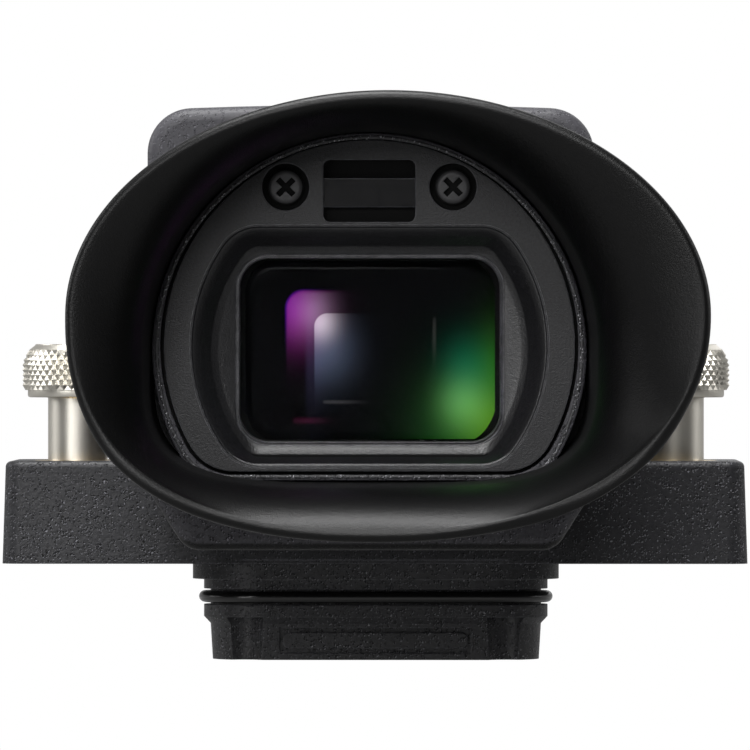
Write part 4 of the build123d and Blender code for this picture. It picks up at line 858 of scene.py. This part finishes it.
@dataclass
class MountingBar(SubAssembly):
    """The cast bar with its yoke, hinge, wiring and screw springs."""

    spring_wire: float = 0.3
    spring_turns: int = 5
    spring_steps: int = 20
    wire_sides: int = 8
    screw_travel: float = 7.2

    coats = {
        "mount_bracket": BAR_COAT, "tilt_yoke": BAR_COAT, "screw_bushes": BUSH_BRASS,
        "left_retaining_ring": SPRING_STEEL, "right_retaining_ring": SPRING_STEEL,
        "base_board": BOARD_MASK, "yoke_screws": BLACK_SCREW, "hinge_shafts": HINGE_STEEL,
        "hinge_caps": DARK_PLASTIC, "hinge_washers": HINGE_STEEL, "hinge_cable": CABLE_JACKET,
        "hinge_bushes": BUSH_BRASS,
    }

    def coil(self, low: Vector, high: Vector) -> bpy.types.Mesh:
        """Builds one screw's coil spring.

        Args:
            low: Low corner of the space that the spring fills.
            high: High corner of that space.

        Returns:
            The mesh.
        """
        wire = self.spring_wire * MM
        radius = (high.x - low.x) / 2 - wire
        centre = (low + high) / 2
        rings = []
        for i in range(self.spring_turns * self.spring_steps + 1):
            turn = i / self.spring_steps
            angle = 2 * math.pi * turn
            height = low.z + wire + (high.z - low.z - 2 * wire) * turn / self.spring_turns
            ring = []
            for j in range(self.wire_sides):
                side = 2 * math.pi * j / self.wire_sides
                reach = radius + wire * math.cos(side)
                ring.append(Vector((centre.x + reach * math.cos(angle), centre.y + reach * math.sin(angle),
                                    height + wire * math.sin(side))))
            rings.append(ring)
        return ring_mesh("screw_spring_mesh", rings)

    def build(self) -> None:
        """Builds both screw springs."""
        for side in ("left", "right"):
            low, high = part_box(f"{side}_screw_spring")
            spring = add_piece(f"{side}_coil_spring", self.coil(low, high), "base", SPRING_STEEL,
                               [f"{side}_screw_spring"])
            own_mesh(spring)


@dataclass
class ThumbScrews(SubAssembly):
    """Two captive screws with diamond-knurled heads and threaded ends."""

    spacing: float = 72.0
    diamonds: int = 42
    knurl_rows: int = 8
    knurl_radius: float = 6.7
    knurl_depth: float = 0.4
    head_height: float = 5.55
    top_inset: float = 1.55
    crown_inset: float = 0.85
    crown_height: float = 1.9
    top_cone: float = 0.7
    foot_inset: float = 0.35
    flange_height: float = 0.87
    flange_radius: float = 6.05
    flange_chamfer: float = 0.25
    shoulder_radius: float = 3.6
    shoulder_length: float = 10.0
    groove_radius: float = 2.0
    groove_length: float = 0.9
    thread_radius: float = 2.5
    thread_pitch: float = 0.8
    thread_depth: float = 0.42
    thread_steps: int = 6
    tip_chamfer: float = 0.6
    tip_radius: float = 0.6
    soft_edge: float = 0.12
    dimple: tuple[float, float, float] = (0.8, 1.6, 1.75)

    def crown(self, down: float) -> float:
        """Returns the rounded crown's radius at a distance below its cone."""
        below = min(down / self.crown_height, 1.0)
        return self.knurl_radius - self.crown_inset * (1 - math.sin(below * math.pi / 2))

    def thread(self, height: float, turn: float) -> float:
        """Returns the thread's radius at a height and a share of a turn."""
        ridge = abs((height / self.thread_pitch - turn) % 1.0 - 0.5) * 2
        return self.thread_radius - self.thread_depth * min(max(1.25 * ridge - 0.1, 0.0), 1.0)

    def screw(self, side: int, low: float, top: float) -> bpy.types.Mesh:
        """Builds one screw's mesh.

        Args:
            side: -1 for the left screw and 1 for the right one.
            low: Height of the thread's end.
            top: Height of the head's top.

        Returns:
            The mesh.
        """
        centre = side * self.spacing / 2
        count = 2 * self.diamonds
        rings: list[list[Vector]] = []
        cuts: list[int] = []

        def ring(radius: float | Callable[[int], float], height: float, knurled: int = -1) -> None:
            """Adds one ring, with the number of its knurl row where it has one."""
            points = []
            for i in range(count):
                angle = 2 * math.pi * i / count
                r = radius(i) if callable(radius) else radius
                points.append(Vector((centre + r * math.cos(angle), r * math.sin(angle), height)) * MM)
            rings.append(points)
            cuts.append(knurled)

        cap = self.knurl_radius - self.top_inset
        edge = self.soft_edge
        middle, floor, mouth = self.dimple
        for radius, height in ((middle, top - edge), (floor, top - edge), (mouth, top), (cap - edge, top),
                               (cap - edge / 4, top - edge / 4), (cap, top - edge)):
            ring(radius, height)
        knurl_top = top - self.top_cone
        knurl_foot = top - self.head_height
        ring(self.crown(0), knurl_top + 0.02)
        row_height = (knurl_top - knurl_foot) / self.knurl_rows
        for row in range(self.knurl_rows + 1):
            down = row * row_height
            outer = self.crown(down)
            depth = self.knurl_depth
            if row == 0:
                depth = 0.0
            if row == self.knurl_rows:
                outer, depth = self.knurl_radius - self.foot_inset, 0.0
            ring(lambda i: outer - (depth if (i + row) % 2 == 0 else 0.0), knurl_top - down, row)
        flange_top = knurl_foot
        flange_low = knurl_foot - self.flange_height
        soft = self.flange_chamfer
        ring(self.flange_radius + 0.02, flange_top)
        for radius, height in ((self.flange_radius, flange_top - 0.03), (self.flange_radius, flange_low + soft),
                               (self.flange_radius - soft * 0.3, flange_low + soft * 0.3),
                               (self.flange_radius - soft, flange_low), (self.shoulder_radius + edge, flange_low),
                               (self.shoulder_radius, flange_low - edge)):
            ring(radius, height)
        shoulder_low = flange_low - self.shoulder_length
        for share in (0.02, 0.25, 0.5, 0.75, 0.98):
            ring(self.shoulder_radius, flange_low - edge + share * (shoulder_low - flange_low + 2 * edge))
        ring(self.shoulder_radius, shoulder_low + edge)
        ring(self.shoulder_radius - edge, shoulder_low)
        thread_top = shoulder_low - self.groove_length
        ring(self.groove_radius, shoulder_low)
        ring(self.groove_radius, thread_top)
        rows = round((thread_top - low) / self.thread_pitch * self.thread_steps)
        for row in range(rows + 1):
            height = thread_top + row * (low - thread_top) / rows
            near_end = min(height - low, thread_top - height)
            limit = self.thread_radius - max(self.tip_chamfer - near_end, 0.0)
            ring(lambda i: min(self.thread(height, i / count), limit), height)
        ring(self.tip_radius, low)

        points = [tuple(point) for each in rings for point in each]
        faces: list[tuple[int, ...]] = [tuple(range(count))[::-1]]
        for k in range(len(rings) - 1):
            upper, lower = k * count, (k + 1) * count
            for i in range(count):
                j = (i + 1) % count
                quad = (upper + j, upper + i, lower + i, lower + j)
                if cuts[k] < 0 or cuts[k + 1] < 0:
                    faces.append(quad)
                elif (i + cuts[k]) % 2 == 0:
                    faces.append((quad[1], quad[2], quad[3]))
                    faces.append((quad[1], quad[3], quad[0]))
                else:
                    faces.append((quad[0], quad[1], quad[2]))
                    faces.append((quad[0], quad[2], quad[3]))
        faces.append(tuple(range((len(rings) - 1) * count, len(rings) * count)))
        mesh = bpy.data.meshes.new("thumb_screw_mesh")
        mesh.from_pydata(points, [], faces)
        mesh.validate()
        fix_normals(mesh)
        return mesh

    def build(self) -> None:
        """Builds both screws in place of their CAD nodes."""
        for side, name in ((-1, "left_thumb_screw"), (1, "right_thumb_screw")):
            low, top = (corner.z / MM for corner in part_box(name))
            mesh = self.screw(side, low, top)
            add_piece("knurled_" + name, mesh, name, SCREW_NICKEL, [name], 25.0)


@dataclass
class PlugBlock(SubAssembly):
    """The stepped plug under the bar, with its O-ring and contacts."""

    coats = {"plug_housing": PLUG_COAT, "plug_seal": SEAL_RUBBER, "contact_block": DARK_PLASTIC,
             "contact_pins": BUSH_BRASS, "plug_screws": BLACK_SCREW}


@dataclass
class HeadBox(SubAssembly):
    """The tilting head's two casings."""

    coats = {"front_casing": HEAD_COAT, "rear_casing": HEAD_COAT, "casing_screws": BLACK_SCREW}


@dataclass(frozen=True)
class Outline:
    """A closed outline with a flat below and mostly above, round or straight at its sides."""

    half_width: float
    half_height: float
    corner: float
    rise: float = 0.0
    straight_sides: bool = False
    round_top: bool = False

    def points(self, count: int, grow: float = 0.0) -> list[tuple[float, float]]:
        """Places points round the outline.

        Args:
            count: Number of points.
            grow: Distance outside the outline.

        Returns:
            Points across and up from the line of sight, in millimetres.
        """
        wide, high, soft = self.half_width + grow, self.half_height + grow, self.corner + grow
        corner_z = high - soft
        corner_x = wide - soft if self.straight_sides else math.sqrt((wide - soft) ** 2 - corner_z ** 2)
        first = math.atan2(corner_z, wide if self.straight_sides else corner_x)
        last = math.atan2(high, corner_x)
        points = []
        for i in range(count):
            angle = 2 * math.pi * i / count
            across, up = math.cos(angle), math.sin(angle)
            slant = math.atan2(abs(up), abs(across))
            if self.round_top and up > 0:
                radius = wide
            elif slant <= first:
                radius = wide / abs(across) if self.straight_sides else wide
            elif slant >= last:
                radius = high / abs(up)
            else:
                along = corner_x * abs(across) + corner_z * abs(up)
                radius = along + math.sqrt(along ** 2 - corner_x ** 2 - corner_z ** 2 + soft ** 2)
            points.append((radius * across, self.rise + radius * up))
        return points


@dataclass
class EyepieceFace(SubAssembly):
    """The grained face, its screws, eye sensor and window."""

    coats = {"eyepiece_bezel": FACE_GRAIN, "bezel_screws": EYE_SCREW, "eyepiece_window": WINDOW_GLASS,
             "window_seal": SEAL_RUBBER, "sensor_window": SENSOR_GLOSS, "sensor_board": BOARD_MASK,
             "sensor_emitters": CHIP_BLACK}

    opening: Outline = Outline(14.9, 10.5, 3.4, straight_sides=True)
    ledge: Outline = Outline(17.8, 11.6, 2.0, -0.05)
    recess: Outline = Outline(20.35, 13.7, 5.0, 0.4)
    collar: Outline = Outline(24.8, 15.0, 6.0, round_top=True)
    recess_depth: float = 3.0
    rim_profile: tuple[tuple[float, float], ...] = (
        (-0.06, -0.5), (-0.06, 0.12), (-0.02, 0.22), (0.08, 0.27), (0.18, 0.22), (0.22, 0.05), (0.42, 0.05),
        (0.46, 0.2), (0.55, 0.24))
    ledge_steps: int = 8
    ledge_start: float = 0.5
    ledge_width: float = 0.85
    ledge_reach: float = 0.24
    ledge_top: float = 0.75
    lip_steps: int = 5
    lip_sink: float = 0.22
    seal_inner: float = 0.15
    seal_outer: float = 1.0
    bead_reach: float = 0.4
    around: int = 720
    bead_inset: float = 0.55
    bead_half: float = 0.22
    bead_root: float = 0.2
    bead_steps: int = 8

    def surround(self, height: float, face: float) -> bpy.types.Mesh:
        """Builds the moulded ring round the window: a thin rim, a groove, a ledge and a slope with soft edges.

        Args:
            height: Height of the line of sight.
            face: Reach of the eyepiece's face.

        Returns:
            The mesh.
        """
        floor = face - self.recess_depth
        opening, ledge, recess = self.opening, self.ledge, self.recess
        stations: list[tuple[Outline, float, Outline, float, float, float]] = []

        def step(first: Outline, grow: float, reach: float, second: Outline | None = None, other: float = 0.0,
                 share: float = 0.0) -> None:
            """Adds one station, on an outline or at a share of the way to a second one."""
            stations.append((first, grow, second or first, other, share, reach))

        for grow, rise in self.rim_profile:
            step(opening, grow, floor + rise)
        for i in range(self.ledge_steps + 1):
            along = i / self.ledge_steps
            step(ledge, self.ledge_width * along - self.ledge_start,
                 floor + self.ledge_reach + 0.3 * along + 0.08 * along ** 2)
        step(ledge, 0.45, floor + self.ledge_top)
        step(ledge, 0.45, (floor + self.ledge_top + face - self.lip_sink) / 2, recess, -0.3, 0.5)
        step(recess, -0.3, face - self.lip_sink)
        for i in range(1, self.lip_steps + 1):
            turn = math.pi / 2 * i / self.lip_steps
            step(recess, -0.3 + 0.5 * math.sin(turn) ** 1.4, face + 0.04 - 0.26 * math.cos(turn))
        step(recess, 0.26, face - 0.1)
        step(recess, 0.1, face - 0.6)
        step(ledge, 0.6, floor - 0.5)
        rings = []
        for first, grow, second, other, share, reach in stations:
            pairs = zip(first.points(self.around, grow), second.points(self.around, other))
            rings.append([Vector((a[0] + share * (b[0] - a[0]), -reach, height + a[1] + share * (b[1] - a[1]))) * MM
                          for a, b in pairs])
        return ring_mesh("window_surround_mesh", rings, closed=True)

    def bead(self, height: float, reach: float) -> bpy.types.Mesh:
        """Builds the half-round bead on the collar's end.

        Args:
            height: Height of the line of sight.
            reach: Reach of the collar's end.

        Returns:
            The mesh.
        """
        rings = []
        for i in range(self.bead_steps + 1):
            turn = math.pi * i / self.bead_steps
            grow = -self.bead_inset + self.bead_half * math.cos(turn)
            out = reach + 0.7 * self.bead_half * math.sin(turn)
            rings.append([Vector((x, -out, height + z)) * MM for x, z in self.collar.points(self.around, grow)])
        for grow in (-self.bead_inset - self.bead_half, -self.bead_inset + self.bead_half):
            rings.append([Vector((x, -reach + self.bead_root, height + z)) * MM
                          for x, z in self.collar.points(self.around, grow)])
        return ring_mesh("collar_bead_mesh", rings, closed=True)

    def seal(self, height: float, low: float, high: float) -> bpy.types.Mesh:
        """Builds the flat seal behind the window glass, whose opening is a little wider than the window.

        Args:
            height: Height of the line of sight.
            low: Reach of the seal's inner side.
            high: Reach of the seal's outer side.

        Returns:
            The mesh.
        """
        rings = []
        near, far = self.seal_inner, self.seal_outer
        for grow, reach in ((near, low), (near, high), (far, high), (far, low)):
            rings.append([Vector((x, -reach, height + z)) * MM for x, z in self.opening.points(self.around, grow)])
        return ring_mesh("window_seal_mesh", rings, closed=True)

    def build(self) -> None:
        """Builds the ring round the window, the window's seal and the collar's bead."""
        low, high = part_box("eyepiece_window")
        height = (low.z + high.z) / 2 / MM
        face = -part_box("eyepiece_bezel")[0].y / MM
        near, far = (-corner.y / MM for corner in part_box("window_seal"))
        mesh = self.seal(height, far, near)
        add_piece("window_seal_ring", mesh, "head", SEAL_RUBBER, ["window_seal"])
        add_piece("window_surround", self.surround(height, face), "head", SURROUND_GRAIN, angle=50.0)
        add_piece("collar_bead", self.bead(height, face + self.bead_reach), "head", BEAD_COAT, angle=60.0)


@dataclass
class Eyecup(SubAssembly):
    """The oval rubber trumpet with its rolled lip."""

    coats = {"eyecup_frame": DARK_PLASTIC}

    base_half: float = 26.8
    base_fall: float = 17.0
    start_reach: float = 50.6
    flare_reach: float = 57.0
    rim_reach: float = 82.7
    rim_x: float = 2.18
    rim_rise: float = 3.8
    rim_half_width: float = 36.2
    rim_half_height: float = 25.25
    lean: float = 6.0
    draft_share: float = 0.14
    arc_start_share: float = 0.6
    arc_end: float = math.radians(74.0)
    base_wall: float = 2.0
    rim_wall: float = 1.6
    seat_inset: float = 0.6
    seat_depth: float = 3.0
    foot_chamfer: float = 0.3
    collar_rings: int = 4
    collar_step: float = 1.9
    top_square: float = 2.0
    base_square: float = 4.0
    right_square: float = 2.1
    left_square: float = 2.38
    lip_inset: float = 1.05
    top_inset: float = 1.3
    tube_rings: int = 8
    arc_rings: int = 24
    lip_rings: int = 10
    around: int = 288

    def base_height(self) -> float:
        """Returns the height of the cup's axis at its collar, in millimetres."""
        low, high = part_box("eyepiece_window")
        return (low.z + high.z) / 2 / MM

    def ring(self, share: float, grow: float, inset: float, reach: float) -> list[Vector]:
        """Gives one closed outline of the cup.

        Args:
            share: 0 at the collar and 1 at the rim, along the cup.
            grow: The same, across the cup.
            inset: Distance inside the outer surface.
            reach: Distance behind the hinge axis.

        Returns:
            The outline's points in millimetres.
        """
        centre_x = grow * self.rim_x
        centre_z = self.base_height() + grow * self.rim_rise
        half_width = self.base_half + grow * (self.rim_half_width - self.base_half) - inset
        rise = self.base_half + grow * (self.rim_half_height - self.base_half) - inset
        rise -= grow * (self.top_inset - self.lip_inset)
        fall = self.base_fall + grow * (self.rim_half_height - self.base_fall) - inset
        points = []
        for i in range(self.around):
            angle = 2 * math.pi * i / self.around
            across, up = math.cos(angle), math.sin(angle)
            square = self.top_square
            if up < 0:
                rim_square = self.right_square if across > 0 else self.left_square
                square = self.base_square + grow * (rim_square - self.base_square)
            half_height = rise if up > 0 else fall
            radius = ((abs(across) / half_width) ** square + (abs(up) / half_height) ** square) ** (-1 / square)
            lean = share * self.lean * radius * across / (2 * self.rim_half_width)
            points.append(Vector((centre_x + radius * across, -(reach + lean), centre_z + radius * up)))
        return points

    def profile(self) -> list[tuple[float, float]]:
        """Returns the flare's steps, each as a share along the cup and a share across it."""
        steps = [(self.arc_start_share * i / self.tube_rings,) * 2 for i in range(self.tube_rings)]
        steps = [(along, self.draft_share * across) for along, across in steps]
        for i in range(self.arc_rings + 1):
            turn = self.arc_end * i / self.arc_rings
            along = self.arc_start_share + (1 - self.arc_start_share) * math.sin(turn) / math.sin(self.arc_end)
            arc = (1 - math.cos(turn)) / (1 - math.cos(self.arc_end))
            steps.append((along, self.draft_share * along + (1 - self.draft_share) * arc))
        return steps

    def offset(self, rings: list[list[Vector]], index: int) -> list[tuple[Vector, Vector]]:
        """Returns the outward normal and the outward slope at each point of one inner ring."""
        before, after = rings[max(index - 1, 0)], rings[min(index + 1, len(rings) - 1)]
        middle = rings[index]
        frames = []
        for j in range(self.around):
            slope = (after[j] - before[j]).normalized()
            side = middle[(j + 1) % self.around] - middle[j - 1]
            normal = slope.cross(side).normalized()
            away = Vector((middle[j].x, 0.0, middle[j].z - self.base_height()))
            frames.append((normal if normal.dot(away) > 0 else -normal, slope))
        return frames

    def build(self) -> None:
        """Builds the cup in place of its CAD node."""
        inner = []
        for along, across in self.profile():
            inset = self.base_wall + across * (self.lip_inset - self.base_wall)
            reach = self.flare_reach + along * (self.rim_reach - self.flare_reach)
            inner.append(self.ring(along, across, inset, reach))
        outer = []
        for i, (along, _) in enumerate(self.profile()):
            wall = self.base_wall + along * (self.rim_wall - self.base_wall)
            frames = self.offset(inner, i)
            outer.append([point + normal * wall for point, (normal, _) in zip(inner[i], frames)])
        half = self.rim_wall / 2
        lip = []
        frames = self.offset(inner, len(inner) - 1)
        for i in range(1, self.lip_rings):
            turn = math.pi * i / self.lip_rings
            lip.append([point + normal * half * (1 - math.cos(turn)) + slope * half * math.sin(turn)
                        for point, (normal, slope) in zip(inner[-1], frames)])
        seat_wall = self.base_wall + self.seat_inset
        collar = [self.ring(0.0, 0.0, seat_wall, self.start_reach),
                  self.ring(0.0, 0.0, self.foot_chamfer, self.start_reach)]
        for i in range(self.collar_rings):
            reach = self.start_reach + self.foot_chamfer + i * self.collar_step
            collar.append(self.ring(0.0, 0.0, 0.0, reach))
        seat = [self.ring(0.0, 0.0, self.base_wall, self.flare_reach - self.seat_depth),
                self.ring(0.0, 0.0, seat_wall, self.flare_reach - self.seat_depth - 0.2)]
        rings = collar + outer + lip[::-1] + inner[::-1] + seat
        rings = [[point * MM for point in ring] for ring in rings]
        mesh = ring_mesh("eyecup_mesh", rings, closed=True)
        add_piece("rubber_eyecup", mesh, "head", CUP_RUBBER, ["eyecup"], 50.0)


# Painted reflections on the eye lens: glowing patches, each placed on X and Z in millimetres.
WHOLE_PANE = (-13.81, 36.25, 15.39, 14.25, 1.0, 0.1)
LENS_PAINTED_REFLECTIONS = LensWithPaintedReflections("eye_lens_painted_reflections", "lens_glass", (
    PaintedReflection((0.03, 0.0, 0.12), -9.86, 32.63, 1.19, 12.25, 2.3, 0.12, (-9.41, 30.85), (2.6, 3)),
    PaintedReflection((0.2, 0.014, 0.15), -9.75, 32.52, 3.19, 12.25, 2.2, 0.3, (-8.41, 29.95), (2.9, 3.5)),
    PaintedReflection((0.13, 0.11, 0.13), -9.71, 32.45, 3.19, 12.25, 2.2, 0.5, (-6.41, 29.95), (1.9, 2.4)),
    PaintedReflection((0.014, 0.012, 0.03), -7.71, 31.55, 3.19, 12.25, 1.8, 0.6, (-6.71, 25.45), (1.2, 5)),
    PaintedReflection((0.42, 0.37, 0.39), -6.49, 29.83, 9.19, 14.25, 1.6, 0.15, (-5.71, 28.75), (1.7, 2.0)),
    PaintedReflection((0.06, 0.075, 0.12), -6.49, 29.83, 9.19, 14.25, 1.6, 0.2, (-5.41, 25.65), (3, 3.4)),
    PaintedReflection((0.03, 0.029, 0.03), -5.51, 19.87, 4.19, 19.27, 0.25, 0.25, (-4.21, 19.55), (2.6, 1)),
    PaintedReflection((0.03, 0.002, 0.012), -9.11, 18.00, 1.19, 16.90, 0.5, 0.5, (-7.41, 17.35), (1.8, 0.8)),
    PaintedReflection((0.02, 0.02, 0.018), 7.04, 29.45, 7.69, 14.25, 0.3, 0.3, (7.39, 27.25), (1, 2.4)),
    PaintedReflection((0.012, 0.09, 0.01), *WHOLE_PANE, (12.79, 16.65), (5.6, 5.6)),
    PaintedReflection((0.075, 0.2, 0.06), *WHOLE_PANE, (10.59, 19.45), (2.5, 2.7)),
    PaintedReflection((0.05, 0.09, 0.0), *WHOLE_PANE, (13.39, 17.45), (2.8, 3.2)),
    PaintedReflection((0.0, 0.07, 0.035), *WHOLE_PANE, (11.09, 23.25), (2.6, 3.4)),
    PaintedReflection((0.012, 0.07, 0.0), *WHOLE_PANE, (14.39, 23.25), (2.2, 4.6)),
))
LENS_BLACK = Finish("lens_black_paint", "dark_plastic", (0.003, 0.003, 0.003), 0.6, 0.1,
                    grain_scale=3000.0, grain_depth=0.004, edge_painted_highlight=0.0)


@dataclass
class Optics(SubAssembly):
    """The lenses, their carrier and the display behind them."""

    coats = {
        "middle_lens": INNER_GLASS, "front_lens": INNER_GLASS,
        "lens_carrier": LENS_BLACK, "lens_spacers": LENS_BLACK, "lens_retainers": LENS_BLACK,
        "guide_rods": HINGE_STEEL, "optics_frame": LENS_BLACK, "display_holder": LENS_BLACK,
        "display_panel": DISPLAY_GLASS, "display_seal": SEAL_RUBBER,
    }

    half_width: float = 14.32
    half_height: float = 10.22
    cut_across: float = 2.3
    cut_up: float = 3.2
    corner_points: int = 9
    dome_radius: float = 440.0
    dome_foot: float = 0.12
    dome_scales: tuple[float, ...] = (0.995, 0.9, 0.75, 0.6, 0.45, 0.3, 0.15)
    back_bevel: float = 0.6
    rim_edge: float = 0.1
    rim_proud: float = 0.05
    bore_half_width: float = 12.0
    bore_half_height: float = 8.0

    def outline(self, scale: float) -> list[tuple[float, float]]:
        """Returns the lens's outline round its own centre, with cut and slightly rounded corners.

        Args:
            scale: Size against the full lens.

        Returns:
            Points across and up, in millimetres.
        """
        points = []
        for right, top in ((1, 1), (-1, 1), (-1, -1), (1, -1)):
            start = Vector((self.half_width, self.half_height - self.cut_up))
            corner = Vector((self.half_width - 0.3 * self.cut_across, self.half_height - 0.3 * self.cut_up))
            end = Vector((self.half_width - self.cut_across, self.half_height))
            if right * top < 0:
                start, end = end, start
            for i in range(self.corner_points):
                t = i / (self.corner_points - 1)
                point = start * (1 - t) ** 2 + corner * 2 * t * (1 - t) + end * t ** 2
                points.append((right * point.x * scale, top * point.y * scale))
        return points

    def build(self) -> None:
        """Builds the eye lens, whose polished face fills the window."""
        low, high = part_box("eye_lens")
        centre_z = (low.z + high.z) / 2 / MM
        seat = -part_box("lens_retainers")[0].y / MM + self.rim_proud
        rings = []

        def ring(scale: float, reach: float) -> None:
            """Adds one outline of the lens."""
            rings.append([Vector((x, -reach, centre_z + z)) * MM for x, z in self.outline(scale)])

        def dome(scale: float) -> float:
            """Returns how far the polished face stands out at a share of its size."""
            full = math.hypot(self.half_width, self.half_height)
            return full ** 2 * (1 - scale ** 2) / (2 * self.dome_radius)

        body = self.bore_half_height / self.half_height
        back = -high.y / MM
        for scale, reach in ((body * 0.5, back), (body, back + self.back_bevel), (body, seat), (0.99, seat),
                             (1.0, seat + self.rim_edge / 2), (1.0, seat + self.rim_edge)):
            ring(scale, reach)
        for scale in self.dome_scales:
            ring(scale, seat + self.dome_foot + dome(scale))
        mesh = ring_mesh("eye_lens_mesh", rings)
        # The eye lens carries its coloured reflections painted on as glow.
        add_piece("eye_lens_with_painted_reflections", mesh, "lens_carrier", LENS_PAINTED_REFLECTIONS, ["eye_lens"])


@dataclass
class InsideWorks(SubAssembly):
    """Boards, chips and cables in the head."""

    coats = {"driver_board": BOARD_MASK, "board_chips": CHIP_BLACK, "board_screws": HINGE_STEEL,
             "hinge_connector": DARK_PLASTIC, "flex_cable": CABLE_JACKET}


@dataclass
class DiopterDial(SubAssembly):
    """The focus dial on the head's right side."""

    coats = {"diopter_dial": DARK_PLASTIC, "dial_shaft": PINION_PLASTIC, "dial_screw": BLACK_SCREW,
             "dial_bush": BUSH_BRASS}


def main() -> None:
    """Builds the studio and every sub-assembly in order."""
    logging.basicConfig(level=logging.INFO, format="%(message)s")
    Studio().build()
    for part in (MountingBar(), ThumbScrews(), PlugBlock(), HeadBox(), EyepieceFace(), Eyecup(), Optics(),
                 InsideWorks(), DiopterDial()):
        part.dress()
        part.build()
        log.info("%s done", type(part).__name__)


if __name__ == "__main__":
    main()
